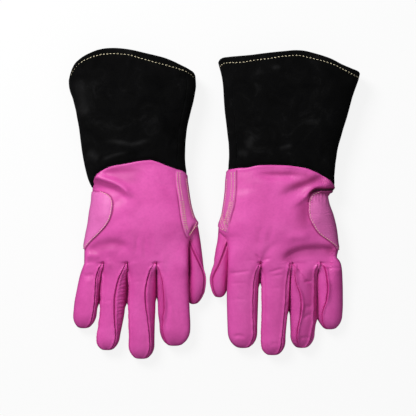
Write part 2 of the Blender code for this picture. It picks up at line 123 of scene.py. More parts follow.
# ----------------------------------------------------------------- glove data
# Fingers: rows of (row, centre, half width); the tip's row, centre and rounding length;
# seams between back and side strip, as (row, column): "right" and "left" as seen from above.
# A side with None has no side strip: the back leather wraps round to the palm.
RIGHT = dict(
    name="right", thumb_side=1,
    fingers=dict(
        index=dict(rows=[(263.5, 172.1, 16.3), (275, 172.8, 15.9), (287.5, 173.2, 15.8), (312.5, 173.9, 15.9), (325, 174.9, 15.5), (335, 175.0, 15.2)],
                   tip=(345.9, 174.4, 17.0), right=None, tilt=-0.08, square=1.7, seam_line_and_shade=dict(left=(1.0, 0.8)), painted_bounce=dict(left=(0.95, 1.9)), rim=1.25,
                   left=[(263.5, 156.4), (267.5, 158.6), (278.8, 162.0), (291, 163.6), (306, 164.3), (318.8, 163.2), (330, 163.0)]),
        middle=dict(rows=[(263.5, 141.4, 14.4), (275, 142.0, 13.8), (287.5, 142.5, 13.5), (306, 142.0, 13.5), (325, 141.9, 12.9), (340, 141.7, 12.8)],
                    tip=(358.9, 141.8, 14.5), left="side",
                    right=[(263.5, 154.6), (268.8, 150.6), (281, 147.2), (293.8, 145.5), (306, 146.0), (318.8, 147.8), (331, 149.0), (347.5, 150.0)],
                    pucker=dict(right=(0.16, 0.0, 2.6)), finger_shade=0.12, hollow=0.25),
        ring=dict(rows=[(263.5, 115.25, 11.75), (275, 114.4, 12.6), (291, 113.65, 12.65), (301, 113.1, 12.5), (312.5, 112.4, 12.2), (325, 110.4, 11.9), (336, 108.6, 11.5)],
                  tip=(350.2, 107.4, 14.0), left="side",
                  right=[(263.5, 125.9), (270, 122.5), (277.5, 119.2), (291, 116.0), (300, 114.8), (312.5, 114.6), (325, 115.0), (336, 115.6)],
                  pucker=dict(right=(0.40, -1.0, 4.2)), hollow=0.25),
        little=dict(rows=[(263.5, 93.8, 9.7), (275, 90.4, 10.4), (291, 87.75, 11.25), (303, 86.15, 11.85), (312, 85.2, 11.8)],
                    tip=(328.3, 83.6, 14.5), left=None, tilt=0.10, hollow=0.25, flat=dict(right=0.35),
                    right=[(263.5, 102.4), (268, 99.0), (281, 95.6), (293.8, 94.8), (312.5, 93.0), (320, 91.0)]),
    ),
    webs=dict(index=295, middle=301, ring=301),
    join_little=187.5, join_thumb=176,
    hand_thumb=[(168, 186.0), (174, 186.5), (180, 187.1), (188, 188.2), (194, 189.0), (204, 190.6), (212, 192.6), (217, 194.3), (220.5, 196.2), (223, 197.7), (225.5, 197.7), (228.5, 196.3), (232, 194.2), (236, 191.9), (242, 189.6), (250, 188.5), (263.5, 188.4)],
    hand_little=[(177, 93.2), (183, 92.6), (188, 92.6), (191, 92.6), (200, 92.2), (212, 90.2), (224, 88.6), (236, 86.2), (248, 84.4), (263.5, 84.1)],
    seam=[(91.6, 186.5), (92.7, 181), (94.6, 176), (101.5, 169.6), (111.5, 165.1), (126.5, 162.2), (141.5, 159.6), (150.5, 159.0), (156.5, 160.4), (165.3, 163.8), (174, 167.2), (184, 170.6), (187.4, 174.4)],
    seam_palm=[(91.6, 186.5), (110, 182), (140, 178), (170, 175.5), (187.4, 174.4)],
    cuff_little=[(48, 72.0), (62, 70.8), (68, 70.2), (74, 69.6), (80, 69.0), (86, 69.2), (92, 70.4), (98, 72.6), (104, 74.2), (110, 75.8), (116, 77.0), (128, 79.0), (140, 80.4), (152, 82.0), (164, 84.2), (176, 87.2), (182, 89.4), (187, 91.6)],
    cuff_thumb=[(48, 191.0), (62, 193.6), (74, 195.3), (80, 195.6), (86, 195.8), (92, 195.0), (98, 194.0), (104, 192.8), (110, 191.3), (116, 189.8), (122, 188.3), (128, 187.1), (134, 186.3), (146, 185.4), (158, 185.2), (164, 185.5), (170, 186.2), (176.5, 187.2)],
    cuff_top=[(69.0, 80.4), (70.2, 75.1), (71.9, 69.7), (75.2, 63.7), (85, 55.9), (97.5, 50.9), (106, 49.5), (113.8, 49.2), (122, 49.7), (130, 50.7), (147.5, 54.6), (166, 59.1), (180, 65.2), (190, 70.4), (194, 73.2), (196, 77.2)],
    hem_worn=(18.0, 11.0),
    hem=[(71.2, 76.0), (73.6, 71.0), (79.2, 63.9), (90, 57.6), (101, 54.7), (113.8, 53.6), (126.3, 54.5), (140, 58.0), (153.8, 61.9), (166, 65.0), (178.8, 68.9), (187.5, 72.2), (194.0, 77.4)],
    thumb=dict(rows=[(212, 185.0, 6.8), (219, 187.4, 7.2), (222.5, 188.8, 8.0), (228, 190.2, 8.2), (234, 191.6, 7.8), (250, 193.8, 7.9), (262, 195.1, 8.0), (268, 195.8, 8.0), (275, 196.7, 8.9), (281, 196.6, 9.3)],
               tip=(304.2, 192.8, 20.5),
               seam=[(226, 186.6), (238, 188.2), (243, 189.7), (250, 192.8), (258, 196.8), (266, 200.6), (272, 203.0), (279, 204.3), (290, 203.6)]),
    patch=[(191.2, 94.0), (191.9, 97.5), (192.5, 102.8), (194.4, 107.8), (198, 111.5), (203.8, 113.1), (211, 112.4), (218.8, 110.2), (226, 105.9), (233.8, 99.0), (241, 91.6), (247.5, 86.2), (250, 85.0)],
    patch_rows=(191.2, 249.5),
    strap_in=[(165, 175.3), (168.8, 175.3), (181, 175.6), (191, 176.9), (199.3, 178.2), (209.3, 179.6), (216.4, 180.5), (225, 182.1), (232.1, 184.3), (237.6, 187.0)],
    strap_arm=[(223.6, 198.4), (226, 196.6), (232, 191.8), (238, 187.6)],
    strap_edge=[(160, 0.15), (184, 0.2), (199, 1.0), (245, 1.0)],
    strap_folds=[dict(path=[(194.6, 221.4), (192.6, 226.5), (190.4, 231.5), (188.4, 236.5)], amp=1.0, sig=(1.0, 1.2), fade=(0.3, 0.2))],
    strap_extra=[[(222.4, 195.9), (227, 193.9), (231.5, 191.2), (235.5, 188.8)]],
    strap_rows=(170.5, 237.6), patch_shade=0.0, strap_shade=0.0,
    creases=[
        dict(path=[(91, 176.4), (99, 178.0), (111.5, 181.8), (120.4, 186.2), (127.5, 192.6), (132, 199)], amp=4.2, sig=(4.4, 2.2), fade=(0.0, 0.25)),
        dict(path=[(91, 184.6), (97, 185.2), (104, 186.8), (115, 190.8), (122, 195.6), (129, 203)], amp=-2.1, sig=(2.2, 13.0), fade=(0.0, 0.25)),
        dict(path=[(121, 208), (129, 210), (138, 210)], amp=0.3, sig=(3.0, 3.5), fade=(0.3, 0.4)),
        dict(path=[(116, 217), (128, 217.5), (142, 217)], amp=-0.4, sig=(4.0, 4.5), fade=(0.3, 0.4)),
        dict(path=[(100, 175.4), (108, 173.6), (116, 172.8), (128, 172.2), (140, 172.2)], amp=-1.4, sig=(3.0, 7.0), fade=(0.2, 0.5)),
        dict(path=[(110, 231), (124, 229.5), (142, 229)], amp=0.6, sig=(6.5, 5.0), fade=(0.3, 0.4)),
        dict(path=[(88, 253), (96, 247.2), (104, 244.4), (113, 243.0), (121, 245.2), (126.6, 249.4), (129, 256)], amp=-2.1, sig=(4.6, 5.6), fade=(0.15, 0.3)),
        dict(path=[(105, 253), (112, 250.5), (119, 253)], amp=0.4, sig=(3.0, 3.4), fade=(0.3, 0.3)),
        dict(path=[(85, 257.5), (92, 255), (101, 257)], amp=0.9, sig=(2.8, 3.0), fade=(0.2, 0.3)),
        dict(path=[(106, 258), (109, 263), (110, 270)], amp=0.9, sig=(2.4, 2.4), fade=(0.3, 0.4)),
        dict(path=[(84, 264), (90, 261.8), (97, 262.5)], amp=-0.7, sig=(2.2, 2.4), fade=(0.3, 0.3)),
        dict(path=[(83, 276.5), (89, 275.2), (96, 274.6)], amp=-0.8, sig=(2.0, 2.6), fade=(0.2, 0.3)),
        dict(path=[(83, 283), (89, 281.4), (94, 281)], amp=0.4, sig=(2.2, 3.0), fade=(0.2, 0.3)),
        dict(path=[(137.5, 232), (136.8, 244), (137.4, 257)], amp=-0.8, sig=(1.9, 2.2), fade=(0.4, 0.3)),
        dict(path=[(145.5, 235), (144.8, 247), (146, 260)], amp=-0.6, sig=(1.8, 2.2), fade=(0.4, 0.3)),
        dict(path=[(151.5, 233), (151, 241), (151.6, 250)], amp=-0.4, sig=(1.6, 1.8), fade=(0.4, 0.4)),
        dict(path=[(156, 170), (164, 180), (170, 196), (173, 212)], amp=-0.5, sig=(4.0, 5.0), fade=(0.4, 0.5)),
        dict(path=[(139, 166), (147, 174), (153.6, 181), (155.5, 189)], amp=0.6, sig=(1.8, 1.8), fade=(0.3, 0.4)),
        dict(path=[(154, 175), (162, 181), (170, 185)], amp=0.5, sig=(1.8, 2.0), fade=(0.3, 0.4)),
        dict(path=[(160, 236), (172, 243), (186, 246)], amp=-0.5, sig=(6.0, 6.0), fade=(0.4, 0.2)),
        dict(path=[(172, 244), (174, 254), (174, 264)], amp=-0.4, sig=(5.0, 5.0), fade=(0.4, 0.3)),
        dict(path=[(162.4, 249), (163, 262), (164, 276)], amp=0.7, sig=(2.8, 2.6), fade=(0.4, 0.4)),
        dict(path=[(166.6, 292), (168.4, 305), (167.4, 318), (165.6, 332)], amp=-1.0, sig=(2.2, 1.5), fade=(0.3, 0.3)),
        dict(path=[(170.5, 296), (174.8, 308), (176, 322)], amp=-0.6, sig=(1.6, 1.8), fade=(0.3, 0.4)),
        dict(path=[(176, 304), (180, 314), (181, 326)], amp=-0.4, sig=(1.8, 2.0), fade=(0.3, 0.4)),
        dict(path=[(132, 283), (138, 281.5), (144, 282)], amp=-0.35, sig=(1.4, 1.8), fade=(0.3, 0.3)),
        dict(path=[(104, 302), (109, 300.5), (113, 301)], amp=-0.35, sig=(1.4, 1.8), fade=(0.3, 0.3)),
    ],
    shades=[
        dict(path=[(91, 181.4), (97, 181.6), (104, 183.2), (115, 187.4), (123, 192.2), (129, 198.6)], amp=0.62, sig=(1.8, 4.2), fade=(0.0, 0.35)),
        dict(path=[(101, 173.0), (112, 170.4), (128, 169.4), (150, 170.4)], amp=0.6, sig=(4.6, 6.0), fade=(0.3, 0.4)),
        dict(path=[(112, 177.6), (124, 178.6), (144, 180)], amp=0.40, sig=(4.0, 4.5), fade=(0.3, 0.4)),
        dict(path=[(86, 252), (94, 247.0), (104, 243.6), (113, 242.0), (121, 243.6), (126.6, 248.4)], amp=0.42, sig=(3.5, 4.5), fade=(0.2, 0.3)),
        dict(path=[(96, 250.5), (104, 248.6), (112, 247.8), (121, 249.6)], amp=0.30, sig=(2.6, 2.6), fade=(0.3, 0.3)),
        dict(path=[(110, 197), (117, 201), (124, 205.5)], amp=0.24, sig=(4.5, 5.0), fade=(0.3, 0.3)),
    ],
    cuff_creases=[
        dict(path=[(92, 158), (110, 153.5), (128, 152), (146, 150)], amp=1.6, sig=(3.0, 3.6), fade=(0.3, 0.4)),
        dict(path=[(112, 145), (126, 141.5), (142, 141)], amp=1.3, sig=(2.6, 4.0), fade=(0.4, 0.4)),
        dict(path=[(84, 132), (96, 140), (108, 146)], amp=-1.2, sig=(4.0, 4.0), fade=(0.2, 0.4)),
        dict(path=[(168, 150), (176, 138), (181, 120)], amp=-1.4, sig=(4.0, 3.0), fade=(0.3, 0.4)),
        dict(path=[(160, 70), (166, 92), (168, 116)], amp=-1.2, sig=(6.0, 6.0), fade=(0.3, 0.4)),
    ],
    cuff_highlights=[
        dict(path=[(102, 141.6), (112, 141.0), (122, 142.4), (131, 144.0), (138, 142.8), (146, 140.4), (152, 139.4)], amp=1.0, sig=(1.6, 2.2), fade=(0.4, 0.3)),
        dict(path=[(100, 160.0), (107, 157.4), (114, 155.0), (121, 153.4), (129, 152.8)], amp=0.9, sig=(1.2, 1.6), fade=(0.3, 0.3)),
        dict(path=[(86, 152), (93, 155.4), (99, 160)], amp=0.55, sig=(4.0, 4.0), fade=(0.2, 0.2)),
        dict(path=[(78, 78), (82, 96), (86, 118)], amp=0.5, sig=(5.0, 5.0), fade=(0.2, 0.2)),
    ],
)
LEFT = dict(
    name="left", thumb_side=-1,
    fingers=dict(
        index=dict(rows=[(263.5, 244.35, 16.35), (275, 243.3, 15.9), (287.5, 242.7, 15.9), (312.5, 242.4, 15.4), (325, 242.4, 15.0), (332, 242.5, 14.8)],
                   tip=(348.1, 243.0, 16.5), left=None, finger_shade=0.14, seam_line_and_shade=dict(right=(1.3, 0.8)), hollow=0.25, roll=dict(right=1.6),
                   right=[(263.5, 260.0), (267, 257.8), (275, 254.9), (287.5, 253.4), (306, 252.8), (325, 253.2), (335, 253.6)]),
        middle=dict(rows=[(263.5, 276.0, 15.3), (275, 275.9, 14.5), (300, 275.4, 13.7), (318.8, 274.4, 12.8), (335, 273.5, 12.2)],
                    tip=(355.2, 273.0, 14.0), left="side", finger_shade=0.13, seam_line_and_shade=dict(right=(1.2, 0.75)), flat=dict(right=0.42), strip_shade=0.10, hollow=0.25, roll=dict(right=3.0),
                    right=[(263.5, 290.2), (268.8, 288.4), (281, 286.4), (300, 285.4), (325, 283.2), (340, 281.5)]),
        ring=dict(rows=[(263.5, 305.7, 14.4), (275, 303.9, 13.4), (300, 303.3, 13.7), (318, 303.1, 13.2), (332, 302.6, 12.2)],
                  tip=(348.0, 301.8, 14.0),
                  left=[(263.5, 293.0), (268, 295.4), (273.8, 295.2), (285, 296.8), (293.8, 300.0), (305, 301.2), (316, 300.2), (327.5, 297.9), (337.5, 296.6)],
                  right=[(263.5, 318.6), (268, 316.0), (275, 314.2), (290, 314.0), (320, 313.3), (335, 310.8)],
                  pucker=dict(left=(0.18, 0.1, 2.4)), tilt=-0.36, rim=1.25, finger_shade=0.26, sunk=0.55, strip_shade=0.28, flat=dict(right=0.45), seam_line_and_shade=dict(left=(0.35, 0.7), right=(1.1, 0.75)), painted_bounce=dict(left=(0.45, 1.6), right=(0.6, 1.4))),
        little=dict(rows=[(263.5, 330.5, 10.4), (268, 330.2, 11.6), (275, 330.2, 12.2), (290, 330.4, 12.5), (306, 330.5, 12.4), (316, 330.3, 12.0)],
                    tip=(329.4, 329.8, 14.5), right=None,
                    left=[(263.5, 321.4), (267, 324.4), (275, 326.3), (287.5, 327.6), (300, 326.4), (308.8, 323.6), (318, 321.8)],
                    tilt=-0.16, rim=1.15, finger_shade=0.12, sunk=0.55, strip_shade=0.12, seam_line_and_shade=dict(left=(0.45, 0.7)), painted_bounce=dict(left=(0.85, 1.7))),
    ),
    webs=dict(index=281, middle=308, ring=317),
    join_little=186.5, join_thumb=170.5,
    hand_thumb=[(165, 228.4), (171, 227.2), (176, 226.4), (182, 225.8), (190, 225.4), (200, 224.3), (208, 223.1), (213, 222.3), (217, 221.3), (220, 220.3), (223, 219.2), (227, 218.4), (230, 218.5), (233, 220.0), (238, 224.6), (244, 227.0), (252, 227.9), (263.5, 228.0)],
    hand_little=[(180, 334.2), (184, 334.5), (187.5, 334.8), (190.5, 333.2), (193.5, 328.8), (196.5, 327.0), (202.5, 328.0), (216, 332.6), (230, 335.8), (242.5, 337.3), (250, 338.2), (257, 337.0), (260.5, 339.4), (263.5, 340.9)],
    seam=[(227.9, 169.0), (236.5, 167.3), (246.5, 166.6), (257.8, 164.3), (274, 163.9), (291.5, 164.8), (304, 166.6), (316.5, 171.2), (326.5, 177.0), (332.6, 182.2), (334.6, 185.4)],
    seam_palm=[(227.9, 169.0), (250, 173.5), (280, 177), (310, 181), (334.6, 185.4)],
    cuff_thumb=[(48, 214.0), (56, 216.2), (62, 217.9), (68, 219.6), (74, 221.2), (80, 222.3), (86, 223.0), (98, 223.9), (110, 224.6), (122, 226.0), (134, 227.6), (146, 228.7), (158, 229.0), (164, 228.7), (169.5, 227.9)],
    cuff_little=[(48, 365.0), (68, 361.4), (74, 359.9), (80, 358.4), (86, 356.4), (92, 354.2), (98, 352.2), (104, 350.6), (110, 349.0), (116, 347.4), (122, 345.6), (128, 343.6), (134, 341.8), (140, 340.0), (146, 338.4), (152, 337.2), (158, 336.4), (164, 335.4), (170, 334.8), (178, 334.4), (186, 334.6)],
    cuff_top=[(216.8, 68.0), (217.6, 64.4), (219, 61.0), (222, 59.0), (228, 58.2), (247.5, 56.4), (266, 54.1), (285, 52.2), (295, 51.4), (301, 51.6), (316, 54.6), (328.8, 58.7), (341, 64.5), (353.8, 70.0), (359.2, 72.6), (361.3, 76.5)],
    hem_worn=(3.0, 0.0),
    hem=[(219.6, 68.6), (221.5, 65.4), (226, 63.0), (241, 62.4), (253.8, 60.2), (270, 58.4), (285, 56.0), (297.5, 55.4), (310, 57.8), (322.5, 60.8), (335, 65.2), (347.5, 71.2), (358.4, 77.6)],
    thumb=dict(rows=[(212, 229.5, 6.4), (218, 227.9, 6.6), (222, 226.6, 6.8), (228, 225.4, 7.0), (234, 225.2, 7.2), (241, 224.9, 7.6), (250, 224.4, 8.9), (258, 223.4, 9.2), (264, 222.0, 8.3), (270, 220.7, 9.1), (279, 219.1, 9.5)],
               tip=(297.4, 219.6, 18.5),
               seam=[(226, 229.6), (239, 228.3), (249, 225.0), (260, 220.9), (267, 217.8), (273, 214.6), (280, 212.2), (288, 212.2)]),
    patch=[(190.6, 325.0), (191.2, 319.0), (192.4, 314.0), (196, 310.4), (203.8, 308.4), (211, 308.3), (217, 309.2), (225, 312.8), (233.8, 319.2), (240, 327.6), (246, 334.4), (250, 337.2)],
    patch_rows=(190.6, 250.5),
    strap_in=[(165, 236.6), (168.8, 236.5), (181, 236.6), (193.8, 236.0), (205, 234.6), (215, 231.8), (223.8, 229.6), (233.6, 228.0)],
    strap_arm=[(225.5, 217.6), (228, 219.5), (231, 223.4), (233.6, 227.6)],
    strap_edge=[(160, 1.0), (220, 1.0), (225.5, 0.2), (245, 0.2)],
    strap_folds=[dict(path=[(223.4, 212), (225.0, 218), (226.9, 224), (228.4, 229.5)], amp=0.75, sig=(1.0, 1.3), fade=(0.3, 0.2))],
    strap_extra=[[(214.2, 222.2), (221, 223.5), (226, 225.2), (230, 227.0)], [(219.5, 220.9), (224, 221.8), (228, 223.8), (231.2, 226.2)]],
    strap_rows=(171.0, 233.4), patch_shade=0.40, strap_shade=0.42,
    creases=[
        dict(path=[(338, 186.0), (329, 184.4), (318.6, 185.6), (311.6, 189.4), (305.6, 196.4), (297.4, 203.0), (284, 210)], amp=4.0, sig=(2.4, 9.0), fade=(0.0, 0.6)),
        dict(path=[(336, 193.4), (324, 192.8), (316.5, 192.8), (311.8, 196), (309, 202), (306.5, 210)], amp=-4.6, sig=(8.0, 2.2), fade=(0.0, 0.5)),
        dict(path=[(328, 178.2), (319, 180.2), (308, 185.8), (297, 190.0), (288, 193.4), (279, 198.6), (270, 202)], amp=-4.4, sig=(10.0, 4.6), fade=(0.1, 0.6)),
        dict(path=[(252, 174.0), (264, 175.2), (276, 175.8), (290, 175.6), (303, 176.2)], amp=-2.9, sig=(3.0, 4.6), fade=(0.35, 0.35)),
        dict(path=[(311.5, 198), (309.4, 206), (309.8, 214), (313, 224)], amp=-3.6, sig=(7.0, 9.0), fade=(0.2, 0.4)),
        dict(path=[(282, 241), (296, 237), (311, 236.5)], amp=1.7, sig=(5.5, 4.5), fade=(0.4, 0.3)),
        dict(path=[(283, 263), (288, 257.4), (296.8, 252.8), (308, 250.4), (323, 249.8), (336, 250.6)], amp=-4.2, sig=(4.2, 22.0), fade=(0.2, 0.1)),
        dict(path=[(292, 261), (308, 259.6), (324, 260.0)], amp=0.5, sig=(3.0, 3.6), fade=(0.3, 0.3)),
        dict(path=[(261.4, 262.5), (266, 253.5), (272, 246.4), (281, 240)], amp=-1.3, sig=(3.2, 3.8), fade=(0.1, 0.6)),
        dict(path=[(261.2, 262.8), (263.4, 258.5), (266.0, 254.0)], amp=-0.9, sig=(1.5, 1.8), fade=(0.0, 0.6)),
        dict(path=[(287.2, 276), (287.4, 270), (288.2, 265.6), (290.0, 263.0), (292.2, 262.4), (294.4, 263.2), (296.0, 265.8), (296.4, 270), (296.4, 276)], amp=1.3, sig=(1.2, 1.2), fade=(0.25, 0.25)),
        dict(path=[(314.2, 276), (314.4, 270.5), (315.8, 266.8), (318.2, 264.2), (321.0, 262.6)], amp=1.2, sig=(1.2, 1.2), fade=(0.25, 0.1)),
        dict(path=[(260.6, 262.5), (257.4, 257), (254, 253.4)], amp=-1.3, sig=(1.5, 1.5), fade=(0.0, 0.5)),
        dict(path=[(261.6, 262.8), (267, 259), (273, 257.5)], amp=-1.0, sig=(1.4, 1.6), fade=(0.0, 0.5)),
        dict(path=[(260, 262.8), (252, 260.5), (244, 260.5)], amp=-0.4, sig=(1.5, 1.5), fade=(0.0, 0.5)),
        dict(path=[(290, 266), (284, 264.6), (277, 265.6)], amp=-0.4, sig=(1.6, 1.6), fade=(0.0, 0.5)),
        dict(path=[(238, 178), (246, 186), (256, 191)], amp=-0.25, sig=(4.5, 4.5), fade=(0.3, 0.4)),
        dict(path=[(262, 222), (259.5, 236), (258, 250)], amp=-0.9, sig=(4.0, 3.5), fade=(0.4, 0.3)),
        dict(path=[(274, 224), (270, 236), (266, 248)], amp=-0.6, sig=(3.0, 3.0), fade=(0.4, 0.3)),
        dict(path=[(229, 273.5), (240, 272.4), (252, 270.6)], amp=-0.7, sig=(1.4, 1.8), fade=(0.1, 0.3)),
        dict(path=[(230, 284), (238, 283), (247, 283.6)], amp=-0.4, sig=(1.4, 1.8), fade=(0.2, 0.3)),
        dict(path=[(230, 300), (238, 299), (248, 299.6)], amp=-0.3, sig=(1.6, 2.0), fade=(0.2, 0.3)),
        dict(path=[(232, 337), (239, 335.2), (246, 338)], amp=-1.0, sig=(1.5, 2.2), fade=(0.3, 0.3)),
        dict(path=[(266.8, 268), (266.8, 300), (266.6, 338)], amp=0.7, sig=(1.3, 1.5), fade=(0.2, 0.2)),
        dict(path=[(269, 272.6), (277, 270.0), (285, 268)], amp=-0.8, sig=(1.4, 1.6), fade=(0.2, 0.3)),
        dict(path=[(271, 277.5), (278, 275.2), (284, 274.6)], amp=-0.6, sig=(1.4, 1.6), fade=(0.3, 0.3)),
        dict(path=[(268, 289), (275, 288), (282, 288.6)], amp=-0.35, sig=(1.6, 1.8), fade=(0.3, 0.3)),
        dict(path=[(269, 345), (274, 343.6), (280, 345)], amp=-0.5, sig=(1.6, 2.2), fade=(0.3, 0.3)),
        dict(path=[(303.5, 282.4), (307.5, 281.2), (312, 281.8)], amp=-1.4, sig=(1.2, 1.4), fade=(0.3, 0.3)),
        dict(path=[(300.5, 268), (299.6, 275), (301.5, 283)], amp=-0.6, sig=(1.2, 1.2), fade=(0.2, 0.3)),
        dict(path=[(302, 308.5), (307, 306.6), (312.5, 307.4)], amp=-1.1, sig=(2.4, 2.4), fade=(0.3, 0.3)),
        dict(path=[(302.5, 320), (307, 315.8), (312.5, 313.6)], amp=-0.9, sig=(1.8, 2.0), fade=(0.3, 0.3)),
        dict(path=[(299, 339), (305, 337.4), (311, 338.4)], amp=-0.7, sig=(1.4, 1.8), fade=(0.3, 0.3)),
        dict(path=[(328.6, 280), (329.4, 294), (327.6, 310)], amp=0.5, sig=(1.6, 1.6), fade=(0.3, 0.3)),
        dict(path=[(326, 269.5), (333, 267.8), (341, 268.8)], amp=-0.7, sig=(1.4, 1.6), fade=(0.2, 0.2)),
    ],
    shades=[
        dict(path=[(338, 190.6), (325, 189.8), (317.5, 190.0), (312, 192.4), (309, 197), (307.6, 203)], amp=3.5, sig=(2.6, 2.1), fade=(0.0, 0.45)),
        dict(path=[(324, 175.0), (313, 179.2), (304, 182.4), (294, 186.0), (285, 189.6), (275, 194)], amp=1.2, sig=(4.8, 4.2), fade=(0.2, 0.5)),
        dict(path=[(338, 186.5), (331, 184.4), (325, 181.6), (318, 178.6)], amp=0.7, sig=(3.6, 4.0), fade=(0.0, 0.4)),
        dict(path=[(262, 172.0), (276, 172.2), (292, 172.8), (304, 174.4), (314, 177.0)], amp=0.6, sig=(2.6, 3.0), fade=(0.3, 0.2)),
        dict(path=[(307, 200), (304.5, 208), (304, 216), (306, 225), (310, 231)], amp=0.75, sig=(5.5, 8.5), fade=(0.2, 0.3)),
        dict(path=[(281, 263), (285, 257.5), (290, 252.5), (298, 249.0), (308, 246.8), (320, 246.4), (341, 248.6)], amp=0.55, sig=(3.4, 9.0), fade=(0.1, 0.1)),
        dict(path=[(322, 250), (330, 250.5), (341, 251)], amp=0.55, sig=(4.0, 4.5), fade=(0.4, 0.0)),
    ],
    cuff_creases=[
        dict(path=[(250, 158), (264, 152), (282, 150)], amp=1.2, sig=(3.0, 4.0), fade=(0.4, 0.4)),
        dict(path=[(280, 146), (296, 141), (306, 134)], amp=1.1, sig=(3.0, 4.0), fade=(0.4, 0.4)),
        dict(path=[(318, 166), (326, 154), (332, 138)], amp=-1.3, sig=(4.0, 4.0), fade=(0.3, 0.4)),
        dict(path=[(262, 72), (258, 92), (252, 112)], amp=-1.1, sig=(6.0, 6.0), fade=(0.3, 0.4)),
    ],
    cuff_highlights=[
        dict(path=[(278, 148.6), (286, 146.4), (294, 144.4)], amp=0.8, sig=(1.5, 2.2), fade=(0.3, 0.3)),
        dict(path=[(252, 134), (250, 142), (247, 150)], amp=0.6, sig=(3.0, 3.0), fade=(0.3, 0.3)),
        dict(path=[(236, 154), (242, 153), (249, 155)], amp=0.6, sig=(3.0, 3.0), fade=(0.3, 0.3)),
        dict(path=[(271, 68), (276, 67), (281, 68)], amp=0.7, sig=(2.0, 2.0), fade=(0.3, 0.3)),
    ],
)
HAND_HEIGHT = curve([(158, 37.2), (172, 37.8), (186, 38.5), (200, 39.2), (214, 39.2), (228, 37.8), (242, 35.1), (254, 32.2), (263.5, 30.0)])
CUFF_HEIGHT = curve([(48, 47.0), (80, 46.0), (120, 43.0), (150, 40.0), (176, 38.4), (188, 39.0)])
FINGER_HEIGHT = curve([(0.0, 30.0), (5.0, 28.9), (13.0, 27.3), (30.0, 24.9), (45.0, 23.2), (70.0, 21.0), (95.0, 19.2)])      # by rows from the root
MEET = curve([(0.0, 0.80), (4.0, 0.72), (10.0, 0.5), (22.0, 0.24), (40.0, 0.0)])
THIN = dict(index=1.0, middle=1.0, ring=0.93, little=0.83)
FALL = 0.225               # slope of the leather over the finger roots, mm for each row
ROUND_HAND, ROUND_FINGER = 2.6, 2.35


def creases(g, which="creases", wavy=(0.35, 0.07, 0.012)):
    """Height added by the folds of one glove, in mm, at plan positions; summed over the shades list it gives the amount
    of painted shade, over the cuff's highlight list the amount of painted highlight.
    """
    made = []
    for c in g[which]:
        p = along(c["path"], n=40)
        made.append((p, c["amp"], c["sig"], c["fade"]))
    swell, ripple, fine = waves(11 if g["thumb_side"] > 0 else 23, 34), waves(5 if g["thumb_side"] > 0 else 8, 13), waves(3, 5.0)

    def at(x, y):
        x, y = np.asarray(x, float), np.asarray(y, float)
        out = wavy[0] * swell(x, y) + wavy[1] * ripple(x, y) + wavy[2] * fine(x, y)
        flat = np.stack([x.ravel(), y.ravel()], -1)
        for p, amp, sig, fade in made:
            reach = max(14, 2.7 * max(sig))
            lo, hi = p.min(0) - reach, p.max(0) + reach
            near = np.where(((flat > lo) & (flat < hi)).all(1))[0]
            if not len(near):
                continue
            d2 = ((flat[near, None, :] - p[None]) ** 2).sum(-1)
            k = d2.argmin(1)
            d = np.sqrt(d2[np.arange(len(near)), k])
            tang = np.gradient(p, axis=0)[k]
            side = tang[:, 0] * (flat[near, 1] - p[k, 1]) - tang[:, 1] * (flat[near, 0] - p[k, 0])
            s = np.where(side > 0, sig[1], sig[0])
            t = k / (len(p) - 1)
            f = (smooth(0, fade[0], t) if fade[0] > 0 else 1.0) * (smooth(0, fade[1], 1 - t) if fade[1] > 0 else 1.0)
            add = np.zeros(len(flat))
            add[near] = amp * np.exp(-(d / s) ** 2) * f
            out = out + add.reshape(x.shape)
        return out
    return at


# ------------------------------------------------------------------ mesh tools
def grid_mesh(name, P, wrap=False, fan=False, groove=None, painted_bounce=None):
    """A mesh from a grid of points in plan units; faces look outwards."""
    V = place(P)
    nr, nc = V.shape[:2]
    verts = V.reshape(-1, 3)
    ii, jj = np.meshgrid(np.arange(nr - 1), np.arange(nc if wrap else nc - 1), indexing="ij")
    j2 = (jj + 1) % nc
    quads = np.stack([ii * nc + jj, (ii + 1) * nc + jj, (ii + 1) * nc + j2, ii * nc + j2], -1).reshape(-1, 4)
    faces = [tuple(int(v) for v in q) for q in quads]
    if fan:
        tip = len(verts)
        verts = np.vstack([verts, V[-1].mean(0)])
        last = (nr - 1) * nc
        faces += [(last + j, tip, last + (j + 1) % nc) for j in range(nc if wrap else nc - 1)]
    me = bpy.data.meshes.new(name)
    me.from_pydata([tuple(v) for v in verts], [], faces)
    me.update()
    me.polygons.foreach_set("use_smooth", [True] * len(me.polygons))
    ob = bpy.data.objects.new(name, me)
    bpy.context.scene.collection.objects.link(ob)
    # attributes the materials read: groove, the amount of painted shade (along seams partly their own dark line), and
    # the amount of painted bounce light
    for key, field in (("groove", groove), ("painted_bounce", painted_bounce)):
        a = me.attributes.new(key, "FLOAT", "POINT")
        v = np.zeros(len(me.vertices), np.float32)
        if field is not None:
            v[:field.size] = field.ravel()
        a.data.foreach_set("value", v)
    return ob


def outward(ob, centre_of):
    """Turns the faces so that they look away from the tube's middle."""
    me = ob.data
    s = 0.0
    for p in list(me.polygons)[::7]:
        c = p.center
        s += p.normal.dot(c - centre_of(c)) * p.area
    if s < 0:
        me.flip_normals()
    return ob


def thicken(ob, mm, offset=-1.0):
    """Real leather thickness, applied."""
    m = ob.modifiers.new("thickness", "SOLIDIFY")
    m.thickness, m.offset, m.use_even_offset, m.use_rim = mm * 1e-3, offset, False, True
    dg = bpy.context.evaluated_depsgraph_get()
    me = bpy.data.meshes.new_from_object(ob.evaluated_get(dg))
    old = ob.data
    ob.modifiers.clear()
    ob.data = me
    bpy.data.meshes.remove(old)
    return ob


def unit(v):
    return v / np.maximum(np.linalg.norm(v, axis=-1, keepdims=True), 1e-12)


